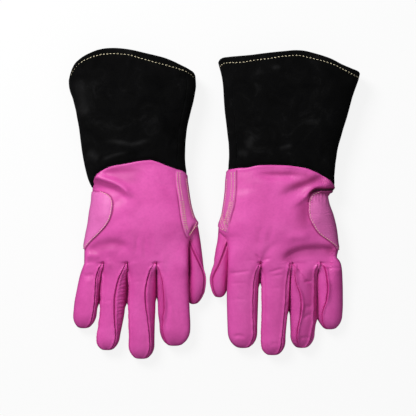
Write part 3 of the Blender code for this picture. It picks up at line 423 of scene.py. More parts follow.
def spread(a, b, n, ends=0.11):
    """n + 1 positions from a to b, closer together at both ends."""
    t = np.linspace(0, 1, n + 1)
    t = t - ends * np.sin(math.tau * t)
    return np.asarray(a)[..., None] + (np.asarray(b) - np.asarray(a))[..., None] * t


def power(c, n):
    return np.sign(c) * np.abs(c) ** (2.0 / n)


# --------------------------------------------------------------------- fingers
SEGMENTS = (9, 28, 9, 8, 20, 8)         # columns of: right top, back, left top, left low, palm, right low


def finger_grid(f, bumps, belly, height=1.0, lift=1.2):
    """Points of one finger (rows, columns) and the column where each segment begins."""
    rows = np.array(f["rows"], float)
    tip_row, tip_mid, cap = f["tip"]
    first = rows[0, 0]
    start = tip_row - cap
    # the first rows are packed closer, where the finger leaves the hand
    shaft = first + (start - first) * (np.linspace(0, 1, 96) ** 1.3)
    ang = np.linspace(0, math.radians(88.0), 25)[1:]
    y = np.concatenate([shaft, start + cap * np.sin(ang)])
    f_cap = np.concatenate([np.ones(len(shaft)), np.cos(ang) ** 0.88])
    mid = curve([(r[0], r[1]) for r in rows] + [(tip_row, tip_mid)])(y)
    half = curve([(r[0], r[2]) for r in rows])(y)
    t = (y - first) / (tip_row - first)
    H = FINGER_HEIGHT(y - first) * height
    wide_r, wide_l = (np.asarray(b(y), float)[:, None] for b in belly)       # how far the lower half bulges towards its neighbours
    up = lift * np.sin(np.pi * np.clip(t, 0, 1)) ** 1.2
    n = ROUND_FINGER + 2.8 * np.exp(-((y - first) / 7.0) ** 2)     # squarer where the fingers are sewn together
    zc = 0.46 * H

    def seam_angle(side, sign):
        if side is None:
            return np.full(len(y), math.radians(30 if sign > 0 else 150)), False
        if side == "side":
            a = math.radians(9) + math.radians(17) * smooth(0, 0.22, t)
            return (a if sign > 0 else math.pi - a), True
        u = (curve([(r, c) for r, c in side])(y) - mid) / half
        last = side[-1][0]
        k = np.searchsorted(y, min(last, start))
        k = min(k, len(y) - 1)
        u = np.where(np.arange(len(y)) > k, u[k], u)
        u = np.clip(u, -0.985, 0.985)
        return np.arccos(np.sign(u) * np.abs(u) ** (n / 2)), True

    p1, s1 = seam_angle(f["right"], 1)
    p2, s2 = seam_angle(f["left"], -1)
    low = math.radians(38)
    p3, p4 = np.full(len(y), math.pi + low), np.full(len(y), math.tau - low)
    zero, pi, tau = np.zeros(len(y)), np.full(len(y), math.pi), np.full(len(y), math.tau)
    stops = (zero, p1, p2, pi, p3, p4, tau)

    def section(psi):
        c, s = np.cos(psi), np.sin(psi)
        e = n[:, None] + np.where(c > 0, f.get("square", 0.0), 0.0)
        cx = power(c, e) * half[:, None]
        top = power(s, e)
        z = np.where(s > 0, zc[:, None] + (H - zc)[:, None] * top, zc[:, None] + zc[:, None] * top)
        q = np.clip(-s, 0, 1)
        cx = cx + np.where(c > 0, wide_r, -wide_l) * np.sin(math.pi * q ** 0.75)
        return cx, z

    def even(a, b, cnt):
        """Angles from a to b, row by row, so that the columns are evenly spaced along the outline."""
        w = np.linspace(-1, 1, 141)
        c = np.arccos(np.clip(np.sign(w) * np.abs(w) ** (n[:, None] / 2), -1, 1))
        fine = np.concatenate([np.repeat(np.linspace(0, math.tau, 241)[None], len(y), 0), c, math.tau - c], 1)
        fine = np.sort(np.clip(fine, a[:, None], b[:, None]), 1)
        fine = np.concatenate([a[:, None], fine, b[:, None]], 1)
        fx, fz = section(fine)
        run = np.cumsum(np.hypot(np.diff(fx, axis=1) * 1.1, np.diff(fz, axis=1)), 1)
        run = np.concatenate([np.zeros((len(y), 1)), run], 1)
        k = spread(0.0, 1.0, cnt)
        return np.stack([np.interp(k * r[-1], r, f) for r, f in zip(run, fine)])

    cols, begin = [], [0]
    for k, cnt in enumerate(SEGMENTS):
        cols.append(even(stops[k], stops[k + 1], cnt)[:, :-1])
        begin.append(begin[-1] + cnt)
    psi = np.concatenate(cols, 1)
    cx, z = section(psi)
    flat_on = (smooth(0.02, 0.16, t) * smooth(0.0, 0.5, f_cap))[:, None]
    for seg, stop, far in ((0, p1, zero), (2, p2, pi)):
        real = (s1, s2)[0 if seg == 0 else 1]
        if not real:
            continue
        ax, az = section(stop[:, None])
        bx, bz = section(far[:, None])
        j = slice(begin[seg], begin[seg + 1])
        q = np.abs(psi[:, j] - far[:, None]) / np.maximum(np.abs(stop - far)[:, None], 1e-6)
        q = np.sin(q * math.pi / 2) ** 1.2
        k = f.get("hollow", 0.62) * flat_on
        cx[:, j] = cx[:, j] * (1 - k) + (bx + (ax - bx) * q) * k
        z[:, j] = z[:, j] * (1 - k) + (bz + (az - bz) * q) * k
        # near the roots the strips of two neighbours meet high up, and lower towards the tips
        flat = f.get("flat", {}).get("right" if seg == 0 else "left", 0.0)
        meet = (az - bz) * np.minimum(MEET(y - first) + flat * smooth(78.0, 40.0, y - first), 0.82)[:, None]
        z[:, j] = z[:, j] + meet * (1 - q)
        z[:, j] = z[:, j] + f.get("roll", {}).get("right" if seg == 0 else "left", 0.0) * np.exp(-((q - 0.58) / 0.30) ** 2) * flat_on
        j = slice(begin[5], begin[6]) if seg == 0 else slice(begin[3], begin[4])
        q = (psi[:, j] - p4[:, None]) / (math.tau - p4)[:, None] if seg == 0 else (p3[:, None] - psi[:, j]) / (p3 - math.pi)[:, None]
        z[:, j] = z[:, j] + meet * smooth(0.0, 1.0, q)
    # sewn edges: a groove along every seam, and a soft roll beside it on the back leather
    # painted shade low on the finger sides where neighbours touch, in the gaps between them
    touch = np.where(np.cos(psi) > 0, smooth(0.0, 0.3, wide_r), smooth(0.0, 0.3, wide_l))
    groove = 1.35 * touch * smooth(0.20, -0.02, np.sin(psi)) * smooth(2.0, 9.0, y - first)[:, None]
    push, painted_bounce = np.zeros_like(z), np.zeros_like(z)
    wander = waves(61 + int(tip_row), 9.0)
    for num, (stop, real, depth) in enumerate(((p1, s1, 1.1), (p2, s2, 1.1), (p3, True, 0.9), (p4, True, 0.9))):
        if not real:
            continue
        a = np.sqrt((half * 1.1 * np.sin(stop)) ** 2 + (H / 2 * np.cos(stop)) ** 2)
        d = (psi - stop[:, None]) * a[:, None] * np.maximum(f_cap, 0.3)[:, None]
        k = smooth(0.0, 0.05, t)[:, None] * smooth(0.0, 0.35, f_cap)[:, None]
        roll = 1.0 + 0.22 * wander(y * 0.8, 7.0 * num)[:, None] if num < 2 else 0.6
        push -= depth * (f.get("sunk", 1.0) if num < 2 else 1.0) * np.exp(-(d / 0.6) ** 2) * k
        push += (1.25 * f.get("rim", 1.0) * np.exp(-((np.abs(d) - 1.55) / 0.85) ** 2) + 0.22 * np.exp(-((np.abs(d) - 2.6) / 1.4) ** 2)) * roll * k
        # the stitches pull small puckers into the leather beside the seam
        push += (0.13 if num < 2 else 0.03) * np.sin(y * 1.1 * math.tau / 2.6 + 2 * wander(y, 3.0))[:, None] * np.exp(-((np.abs(d) - 1.5) / 0.9) ** 2) * k
        # the dark line along each seam: the joint's own dark line and painted shade in its groove
        seam_line_and_shade, broad = f.get("seam_line_and_shade", {}).get(("right", "left")[num], (1.0, 0.6)) if num < 2 else (1.0, 0.6)
        groove = np.maximum(groove, seam_line_and_shade * np.exp(-(d / broad) ** 2) * k * (0.8 + 0.2 * wander(y * 1.3, 5.0 * num)[:, None]))
        # painted bounce light: a purer pink beside each seam
        warm, reach = f.get("painted_bounce", {}).get(("right", "left")[num], (0.5, 1.4)) if num < 2 else (0.0, 1.0)
        painted_bounce = np.maximum(painted_bounce, warm * np.exp(-(d / reach) ** 2) * k)
        amp, slant, wide = f.get("pucker", {}).get(("right", "left")[num], (0.14, 0.3, 3.4)) if num < 2 else (0.0, 0.0, 1.0)
        if amp:
            inside = smooth(0.8, 2.6, -d if num == 0 else d) * smooth(0.0, 1.6, (psi if num == 0 else math.pi - psi) * a[:, None])
            push += amp * np.sin((y[:, None] * 1.1 + slant * np.abs(d)) * math.tau / wide + 1.3 * wander(y, 11.0)[:, None]) * inside * k
    cx, z = cx * f_cap[:, None], (z - zc[:, None]) * f_cap[:, None] + zc[:, None]
    dirx, dirz = cx * 1.1, z - zc[:, None]
    ln = np.maximum(np.hypot(dirx, dirz), 1e-6)
    cx = cx + push * dirx / ln / 1.1
    z = z + push * dirz / ln
    x = mid[:, None] + cx
    yy = np.repeat(y[:, None], psi.shape[1], 1)
    # folds, on the upper side only
    bare = z[0].copy()                       # the root row before any fold
    b = bumps(x, yy) * smooth(0.0, 7.0, z - zc[:, None]) * f_cap[:, None]
    z = z + b + up[:, None]
    z = z + f.get("tilt", 0.0) * 1.1 * (x - mid[:, None]) * smooth(0.0, 6.0, z - zc[:, None]) * (smooth(0.03, 0.25, t) * f_cap)[:, None]
    z = np.maximum(z, 0.25)
    P = np.stack([x, yy, z], -1)
    # painted shade: some fingers are darkened all over, from a few rows past the root
    groove = np.maximum(groove, f.get("finger_shade", 0.0) * smooth(0.0, 14.0, y - first)[:, None])
    # painted shade on the side strips, which lie deep between the fingers
    for seg, real, stop, far in ((0, s1, p1, zero), (2, s2, p2, pi)):
        if real:
            j = slice(begin[seg], begin[seg + 1])
            q = np.abs(psi[:, j] - stop[:, None]) / np.maximum(np.abs(stop - far)[:, None], 1e-6)
            fall = smooth(0.0, 0.9, q) if "hollow" in f else 1.0
            past = smooth(0.0, 8.0, y - first)[:, None]
            groove[:, j] = np.maximum(groove[:, j], f.get("strip_shade", 0.22) * fall * past)
            # painted bounce light on the side strips, away from the seam
            if "hollow" in f:
                painted_bounce[:, j] = np.maximum(painted_bounce[:, j], 0.6 * smooth(0.2, 0.9, q) * past)
    return P, begin, (s1, s2), (groove, painted_bounce), bare


def strip(P, a, b, begin):
    """Columns of a closed ring from segment a up to and including the start of segment b."""
    nc = P.shape[1]
    n = (begin[b] - begin[a]) if begin[b] > begin[a] else nc - begin[a] + begin[b]
    idx = (begin[a] + np.arange(n + 1)) % nc
    return idx


def thumb_grid(g, bumps):
    """Points of the thumb, which starts inside the hand."""
    f = g["thumb"]
    rows = np.array(f["rows"], float)
    tip_row, tip_mid, cap = f["tip"]
    first, start = rows[0, 0], f["tip"][0] - f["tip"][2]
    shaft = np.linspace(first, start, 52)
    ang = np.linspace(0, math.radians(88.0), 27)[1:]
    y = np.concatenate([shaft, start + cap * np.sin(ang)])
    f_cap = np.concatenate([np.ones(len(shaft)), np.cos(ang) ** 0.95])
    mid = curve([(r[0], r[1]) for r in rows] + [(tip_row, tip_mid)])(y)
    half = curve([(r[0], r[2]) for r in rows])(y)
    t = (y - first) / (tip_row - first)
    H = curve([(0, 21.0), (0.25, 22.6), (0.6, 22.4), (1.0, 19.5)])(t)
    zc = 0.47 * H
    n = 2.15
    u = np.clip((curve([(r, c) for r, c in f["seam"]])(y) - mid) / half, -0.9, 0.9)
    stop = np.arccos(np.sign(u) * np.abs(u) ** (n / 2))
    under = np.full(len(y), 1.5 * math.pi)
    zero, pi, tau = np.zeros(len(y)), np.full(len(y), math.pi), np.full(len(y), math.tau)
    stops, counts = (zero, stop, pi, under, tau), (20, 20, 16, 16)
    cols, begin = [], [0]
    for k, cnt in enumerate(counts):
        cols.append(spread(stops[k], stops[k + 1], cnt, 0.08)[:, :-1])
        begin.append(begin[-1] + cnt)
    psi = np.concatenate(cols, 1)
    c, s = np.cos(psi), np.sin(psi)
    cx = power(c, n) * half[:, None]
    z = zc[:, None] + np.where(s > 0, (H - zc)[:, None], zc[:, None]) * power(s, n)
    push, groove, painted_bounce = np.zeros_like(z), np.zeros_like(z), np.zeros_like(z)
    for stp in (stop, under):
        a = np.sqrt((half * 1.1 * np.sin(stp)) ** 2 + (H / 2 * np.cos(stp)) ** 2)
        d = (psi - stp[:, None]) * a[:, None] * np.maximum(f_cap, 0.3)[:, None]
        k = smooth(0.0, 0.3, f_cap)[:, None]
        d = -d * g["thumb_side"]
        push += (-0.85 * np.exp(-((d + 0.2) / 0.75) ** 2) + 1.45 * np.exp(-((d - 1.75) / 0.95) ** 2) + 0.45 * np.exp(-((d + 2.0) / 1.0) ** 2)) * k
        # painted shade in the thumb's seam grooves, and painted bounce light beside them
        groove = np.maximum(groove, 1.15 * np.exp(-((d + 0.25) / 0.9) ** 2) * k)
        painted_bounce = np.maximum(painted_bounce, 0.9 * np.exp(-((d + 0.4) / 1.6) ** 2) * k)
    cx, z = cx * f_cap[:, None], (z - zc[:, None]) * f_cap[:, None] + zc[:, None]
    dx, dz = cx * 1.1, z - zc[:, None]
    ln = np.maximum(np.hypot(dx, dz), 1e-6)
    cx, z = cx + push * dx / ln / 1.1, z + push * dz / ln
    x = mid[:, None] + cx
    yy = np.repeat(y[:, None], psi.shape[1], 1)
    z = z + 0.6 * bumps(x, yy) * smooth(0.0, 6.0, z - zc[:, None]) * f_cap[:, None]
    side = g["thumb_side"]
    r = g["fingers"]["index"]["rows"]
    by_hand = curve(g["hand_thumb"])
    by_finger_mid, by_finger_half = curve([(q[0], q[1]) for q in r]), curve([(q[0], q[2]) for q in r])
    beside = np.where(yy < CROTCH, by_hand(yy), by_finger_mid(yy) + side * by_finger_half(yy))
    # painted shadow in the crevice where the thumb lies beside the hand and the index finger, and painted bounce light
    # next to it
    near = smooth(4.0 if side > 0 else 2.6, 1.2, side * (x - beside)) * smooth(236, 242, yy)
    groove = np.maximum(groove, 1.5 * near * (1.0 if side > 0 else 0.2 + 0.8 * smooth(268, 284, yy)))
    painted_bounce = np.maximum(painted_bounce, 0.75 * smooth(8.0, 1.0, side * (x - beside)) * smooth(236, 246, yy))
    # painted shade over the whole thumb
    groove = np.maximum(groove, 0.16)
    return np.stack([x, yy, np.maximum(z, 0.3)], -1), begin, groove, painted_bounce


# ------------------------------------------------------------------------ hand
class Hand:
    """The skin of hand and wrist as a function of lateral place u (-1 left, 1 right) and row."""

    def __init__(self, g, roots):
        self.g = g
        edges = {}
        for e in ("little", "thumb"):
            j = g["join_" + e]
            edges[e] = [q for q in g["cuff_" + e] if q[0] < j] + [q for q in g["hand_" + e] if q[0] >= j]
        a, b = ("little", "thumb") if g["thumb_side"] > 0 else ("thumb", "little")
        self.left, self.right = curve(edges[a]), curve(edges[b])
        self.seams = [self.crossing(g["seam"]), self.crossing(g["seam_palm"])]
        self.bumps = creases(g)
        lo, hi = float(self.left(CROTCH)), float(self.right(CROTCH))
        top, low, peaks, bare = [], [], [], []
        for P, begin, plain in roots:               # from right to left
            k = begin[3]
            top.append(P[0, :k + 1])
            bare.append(plain[:k + 1])
            low.append(np.vstack([P[0, k:], P[0, :1]]))
            peaks.append((P[0, :, 0].min() + P[0, :, 0].max()) / 2)
        self.top = np.vstack([top[0]] + [q[1:] for q in top[1:]])
        low = low[::-1]
        self.low = np.vstack([low[0]] + [q[1:] for q in low[1:]])
        self.u_top = (2 * self.top[:, 0] - lo - hi) / (hi - lo)
        self.u_low = (2 * self.low[:, 0] - lo - hi) / (hi - lo)
        # the root row without folds, and without the dips between the fingers
        self.bare = np.concatenate([bare[0]] + [q[1:] for q in bare[1:]])
        z = self.bare
        inner = (self.top[:, 0] < max(peaks)) & (self.top[:, 0] > min(peaks))
        tops = [np.interp(q, self.top[::-1, 0], z[::-1]) for q in peaks]
        self.crown = np.where(inner, np.interp(self.top[:, 0], peaks[::-1], tops[::-1]), z)
        z = self.low[:, 2]
        inner = (self.low[:, 0] < max(peaks)) & (self.low[:, 0] > min(peaks))
        lows = [np.interp(q, self.low[:, 0], z) for q in peaks]
        self.sole = np.where(inner, np.interp(self.low[:, 0], peaks[::-1], lows[::-1]), z)

    def crossing(self, path):
        """Where a plan path across the tube meets each lateral place."""
        p = along(path, n=240)
        a, b = self.left(p[:, 1]), self.right(p[:, 1])
        u = 2 * (p[:, 0] - a) / (b - a) - 1
        u[0], u[-1] = -1.0, 1.0
        return np.maximum.accumulate(np.clip(u, -1, 1)), p[:, 1]

    def start(self, u, under=False):
        us, ys = self.seams[1 if under else 0]
        return np.interp(u, us, ys)

    def skin(self, u, y, under=False):
        u = np.clip(u, -1, 1)
        a, b = self.left(y), self.right(y)
        x = a + (b - a) * (u + 1) / 2
        H = HAND_HEIGHT(y)
        mid = 0.44 * H
        e = 2.9 if under else ROUND_HAND
        dome = np.maximum(1 - np.abs(u) ** e, 0) ** (1 / e)
        z = mid - mid * dome if under else mid + (H - mid) * dome
        wide = smooth(222, CROTCH, y)
        close = np.exp(-(np.maximum(CROTCH - y, 0) / 1.5) ** 2)
        if under:
            crown = np.interp(u, self.u_low, self.sole)
            dip = np.interp(u, self.u_low, self.low[:, 2] - self.sole)
        else:
            crown = np.interp(u, self.u_top[::-1], self.crown[::-1])
            dip = np.interp(u, self.u_top[::-1], (self.bare - self.crown)[::-1])
        if not under:
            crown = crown + FALL * np.maximum(CROTCH - y, 0) * np.clip(dome * 1.4, 0, 1)
        z = z * (1 - wide) + crown * wide + dip * close
        d = (y - self.start(u, under)) * 1.1
        roll = (-1.6 * np.exp(-(d / 1.25) ** 2) + 0.8 * np.exp(-((d - 2.7) / 1.7) ** 2)) * (1 - 0.75 * np.abs(u) ** 8)
        cx = (a + b) / 2
        dx, dz = (x - cx) * 1.1, (z - mid) * 2.2
        ln = np.maximum(np.hypot(dx, dz), 1e-6)
        x, z = x + roll * dx / ln / 1.1, z + roll * dz / ln
        if not under:
            z = z + self.bumps(x, y) * smooth(0.0, 7.0, z - mid)
        return np.stack([x, np.broadcast_to(y, x.shape), np.maximum(z, 0.2)], -1)

    def at_angle(self, psi, y):
        """Skin at an angle of the cross-section: 0 right edge, pi/2 top, below 0 or over pi the palm side."""
        u = power(np.cos(psi), ROUND_HAND)
        over, under = self.skin(u, y), self.skin(u, y, True)
        return np.where((np.sin(psi) >= 0)[..., None], over, under)

    def angle(self, x, y):
        """Angle of a plan position on the upper side."""
        a, b = self.left(y), self.right(y)
        u = np.clip(2 * (x - a) / (b - a) - 1, -0.999, 0.999)
        return np.arccos(np.sign(u) * np.abs(u) ** (ROUND_HAND / 2))


def normals(P):
    """Unit normals of a grid of plan points, in millimetres, looking up or out."""
    Q = P * np.array([1.1, -1.1, 1.0])
    a, b = np.gradient(Q, axis=0), np.gradient(Q, axis=1)
    return unit(np.cross(a, b))


def shift(P, N, mm):
    """Plan points moved along normals by millimetres."""
    k = np.asarray(mm)[..., None] if np.ndim(mm) else mm
    return P + N * k / np.array([1.1, -1.1, 1.0])


# -------------------------------------------------------------------- stitches
def stitches(name, points, ups, dash, gap, radius, sink=0.12, worn=(0.0, 0.0)):
    """Separate stitches along a row of 3-D points (metres), each a plump short thread, pulled thin over a worn length (mm) at either end."""
    p = np.asarray(points, float)
    t = np.concatenate([[0], np.cumsum(np.linalg.norm(np.diff(p, axis=0), axis=1))])
    total, pitch = t[-1], (dash + gap) * 1e-3
    n = max(1, int(total / pitch))
    verts, faces = [], []
    prof = [(0.0, 0.35), (0.06, 0.72), (0.2, 0.98), (0.5, 1.05), (0.8, 0.98), (0.94, 0.72), (1.0, 0.35)]
    sides = 8
    rng = np.random.RandomState(len(name) * 7 + n)
    for k in range(n):
        a = (k + 0.5) * total / n - dash * 0.5e-3
        b = a + dash * 1e-3
        r = radius * 1e-3 * (0.45 if a < worn[0] * 1e-3 or b > total - worn[1] * 1e-3 else 1.0)
        wob = rng.uniform(-0.12, 0.12) * r
        ring0 = len(verts)
        for q, w in prof:
            s = a + (b - a) * q
            c = np.array([np.interp(s, t, p[:, i]) for i in range(3)])
            up = unit(np.array([np.interp(s, t, ups[:, i]) for i in range(3)]))
            c2 = np.array([np.interp(s + 2e-4, t, p[:, i]) for i in range(3)])
            c1 = np.array([np.interp(s - 2e-4, t, p[:, i]) for i in range(3)])
            d = unit(c2 - c1)
            side = unit(np.cross(d, up))
            arch = math.sin(math.pi * q)
            c = c + up * (r * (0.55 * arch - sink * 2)) + side * wob
            for j in range(sides):
                h = math.tau * j / sides
                verts.append(tuple(c + (side * math.cos(h) + up * math.sin(h)) * r * w))
        m = len(prof)
        for i in range(m - 1):
            for j in range(sides):
                faces.append((ring0 + i * sides + j, ring0 + i * sides + (j + 1) % sides,
                              ring0 + (i + 1) * sides + (j + 1) % sides, ring0 + (i + 1) * sides + j))
        faces.append(tuple(ring0 + j for j in reversed(range(sides))))
        faces.append(tuple(ring0 + (m - 1) * sides + j for j in range(sides)))
    me = bpy.data.meshes.new(name)
    me.from_pydata(verts, [], faces)
    me.update()
    me.polygons.foreach_set("use_smooth", [True] * len(me.polygons))
    ob = bpy.data.objects.new(name, me)
    bpy.context.scene.collection.objects.link(ob)
    bm = bmesh.new()
    bm.from_mesh(me)
    bmesh.ops.recalc_face_normals(bm, faces=bm.faces)
    bm.to_mesh(me)
    bm.free()
    return ob


def bars(name, ends, ups, radius, sides=8):
    """Single stitches, each from one 3-D point to another (metres)."""
    verts, faces = [], []
    prof = [(0.0, 0.3), (0.1, 0.8), (0.5, 1.0), (0.9, 0.8), (1.0, 0.3)]
    r = radius * 1e-3
    for (a, b), up in zip(ends, ups):
        d = unit(b - a)
        side = unit(np.cross(d, up))
        ring0 = len(verts)
        for q, w in prof:
            c = a + (b - a) * q + up * r * (0.5 * math.sin(math.pi * q) - 0.25)
            verts += [tuple(c + (side * math.cos(h) + up * math.sin(h)) * r * w) for h in np.arange(sides) * math.tau / sides]
        for i in range(len(prof) - 1):
            for j in range(sides):
                k = (j + 1) % sides
                faces.append((ring0 + i * sides + j, ring0 + i * sides + k, ring0 + (i + 1) * sides + k, ring0 + (i + 1) * sides + j))
        faces.append(tuple(ring0 + j for j in reversed(range(sides))))
        faces.append(tuple(ring0 + (len(prof) - 1) * sides + j for j in range(sides)))
    me = bpy.data.meshes.new(name)
    me.from_pydata(verts, [], faces)
    me.update()
    bm = bmesh.new()
    bm.from_mesh(me)
    bmesh.ops.recalc_face_normals(bm, faces=bm.faces)
    bm.to_mesh(me)
    bm.free()
    me.polygons.foreach_set("use_smooth", [True] * len(me.polygons))
    ob = bpy.data.objects.new(name, me)
    bpy.context.scene.collection.objects.link(ob)
    return ob


def tube(name, points, radius, sides=10):
    """A closed round cord through a loop of 3-D points (metres)."""
    p = np.asarray(points, float)
    n = len(p)
    d = unit(np.roll(p, -1, 0) - np.roll(p, 1, 0))
    mid = p.mean(0)
    out = unit(p - mid)
    a = unit(np.cross(d, out))
    b = np.cross(d, a)
    V = np.stack([p + (a * math.cos(h) + b * math.sin(h)) * radius for h in np.arange(sides) * math.tau / sides], 1)
    faces = []
    for i in range(n):
        for j in range(sides):
            k, l = (i + 1) % n, (j + 1) % sides
            faces.append((i * sides + j, k * sides + j, k * sides + l, i * sides + l))
    me = bpy.data.meshes.new(name)
    me.from_pydata([tuple(v) for v in V.reshape(-1, 3)], [], faces)
    me.update()
    bm = bmesh.new()
    bm.from_mesh(me)
    bmesh.ops.recalc_face_normals(bm, faces=bm.faces)
    bm.to_mesh(me)
    bm.free()
    me.polygons.foreach_set("use_smooth", [True] * len(me.polygons))
    ob = bpy.data.objects.new(name, me)
    bpy.context.scene.collection.objects.link(ob)
    return ob


# ------------------------------------------------------------------- materials
def nodes_of(mat):
    mat.use_nodes = True
    t = mat.node_tree
    return t, t.nodes, t.links, t.nodes["Principled BSDF"]


def ramp(n, stops):
    r = n.new("ShaderNodeValToRGB")
    r.color_ramp.elements[0].position, r.color_ramp.elements[0].color = stops[0]
    r.color_ramp.elements[1].position, r.color_ramp.elements[1].color = stops[-1]
    for pos, col in stops[1:-1]:
        e = r.color_ramp.elements.new(pos)
        e.color = col
    return r


def leather(name, dark, base, light, rough=0.42, grain=0.13):
    """Smooth dyed grain leather: soft cloudy colour, fine pebble grain, and painted shade: the groove attribute darkens
    the colour in seams, folds and gaps, almost to black where it is largest; a purer pink beside the seams is painted
    bounce light.
    """
    m = bpy.data.materials.new(name)
    t, n, l, p = nodes_of(m)
    co = n.new("ShaderNodeTexCoord")
    cloud = n.new("ShaderNodeTexNoise")
    cloud.inputs["Scale"].default_value = 26.0
    cloud.inputs["Detail"].default_value = 6.0
    cloud.inputs["Roughness"].default_value = 0.6
    l.new(co.outputs["Object"], cloud.inputs["Vector"])
    tone = ramp(n, [(0.30, (*dark, 1)), (0.5, (*base, 1)), (0.72, (*light, 1))])
    l.new(cloud.outputs["Fac"], tone.inputs["Fac"])
    # painted shade: the groove attribute darkens the colour in the seams, folds, finger gaps and along sewn-on edges;
    # along the seams it is partly the joint's own dark line
    att = n.new("ShaderNodeAttribute")
    att.attribute_name = "groove"
    mul = n.new("ShaderNodeMath")
    mul.operation = "MULTIPLY"
    mul.inputs[1].default_value = 0.62
    l.new(att.outputs["Fac"], mul.inputs[0])
    shade = n.new("ShaderNodeMix")
    shade.data_type = "RGBA"
    l.new(mul.outputs[0], shade.inputs["Factor"])
    # painted bounce light: beside seams, on hollow side strips and in the thumb's crevice the colour is mixed towards a
    # purer pink, for light bounced between the folds
    near = n.new("ShaderNodeAttribute")
    near.attribute_name = "painted_bounce"
    bounce_mix = n.new("ShaderNodeMix")
    bounce_mix.data_type = "RGBA"
    l.new(near.outputs["Fac"], bounce_mix.inputs["Factor"])
    l.new(tone.outputs["Color"], bounce_mix.inputs[6])
    bounce_mix.inputs[7].default_value = (dark[0] * 0.88, dark[1] * 0.25, dark[2] * 0.66, 1)
    l.new(bounce_mix.outputs[2], shade.inputs[6])
    shade.inputs[7].default_value = (dark[0] * 0.38, dark[1] * 0.09, dark[2] * 0.27, 1)
    # painted shadow: where the groove attribute is largest, as under the fold over the left glove's patch, the colour
    # goes nearly black
    shadow_depth = n.new("ShaderNodeMapRange")
    shadow_depth.inputs["From Min"].default_value, shadow_depth.inputs["From Max"].default_value = 1.7, 3.0
    shadow_depth.inputs["To Min"].default_value, shadow_depth.inputs["To Max"].default_value = 0.0, 0.9
    l.new(att.outputs["Fac"], shadow_depth.inputs["Value"])
    deep = n.new("ShaderNodeMix")
    deep.data_type = "RGBA"
    l.new(shadow_depth.outputs["Result"], deep.inputs["Factor"])
    l.new(shade.outputs[2], deep.inputs[6])
    deep.inputs[7].default_value = (0.020, 0.003, 0.010, 1)
    dull = n.new("ShaderNodeMapRange")
    dull.inputs["From Min"].default_value, dull.inputs["From Max"].default_value = 0.0, 1.2
    dull.inputs["To Min"].default_value, dull.inputs["To Max"].default_value = 0.0, 0.3
    l.new(att.outputs["Fac"], dull.inputs["Value"])
    # tiny pores and scuffs in the colour
    pores = n.new("ShaderNodeTexNoise")
    pores.inputs["Scale"].default_value = 420.0
    pores.inputs["Detail"].default_value = 3.0
    l.new(co.outputs["Object"], pores.inputs["Vector"])
    speck = ramp(n, [(0.30, (0.95, 0.94, 0.95, 1)), (0.55, (1, 1, 1, 1)), (0.78, (1.02, 1.03, 1.02, 1))])
    l.new(pores.outputs["Fac"], speck.inputs["Fac"])
    tint = n.new("ShaderNodeMix")
    tint.data_type = "RGBA"
    tint.blend_type = "MULTIPLY"
    tint.inputs["Factor"].default_value = 1.0
    l.new(deep.outputs[2], tint.inputs[6])
    l.new(speck.outputs["Color"], tint.inputs[7])
    l.new(tint.outputs[2], p.inputs["Base Color"])
    # roughness wanders with the cloudy dye
    rr = n.new("ShaderNodeMapRange")
    rr.inputs["From Min"].default_value, rr.inputs["From Max"].default_value = 0.3, 0.7
    rr.inputs["To Min"].default_value, rr.inputs["To Max"].default_value = rough + 0.06, rough - 0.05
    l.new(cloud.outputs["Fac"], rr.inputs["Value"])
    rough_sum = n.new("ShaderNodeMath")
    rough_sum.operation = "ADD"
    l.new(rr.outputs["Result"], rough_sum.inputs[0])
    l.new(dull.outputs["Result"], rough_sum.inputs[1])
    l.new(rough_sum.outputs[0], p.inputs["Roughness"])
    # pebble grain and fine creasing
    cell = n.new("ShaderNodeTexVoronoi")
    cell.feature = "SMOOTH_F1"
    cell.inputs["Scale"].default_value = 900.0
    cell.inputs["Smoothness"].default_value = 0.6
    l.new(co.outputs["Object"], cell.inputs["Vector"])
    fold = n.new("ShaderNodeTexNoise")
    fold.inputs["Scale"].default_value = 150.0
    fold.inputs["Detail"].default_value = 5.0
    fold.inputs["Distortion"].default_value = 0.4
    l.new(co.outputs["Object"], fold.inputs["Vector"])
    b1 = n.new("ShaderNodeBump")
    b1.inputs["Strength"].default_value = grain
    b1.inputs["Distance"].default_value = 0.0005
    l.new(cell.outputs["Distance"], b1.inputs["Height"])
    b2 = n.new("ShaderNodeBump")
    b2.inputs["Strength"].default_value = 0.06
    b2.inputs["Distance"].default_value = 0.0012
    l.new(fold.outputs["Fac"], b2.inputs["Height"])
    l.new(b1.outputs["Normal"], b2.inputs["Normal"])
    l.new(b2.outputs["Normal"], p.inputs["Normal"])
    p.inputs["Specular IOR Level"].default_value = 0.32
    p.inputs["Sheen Weight"].default_value = 0.0
    return m


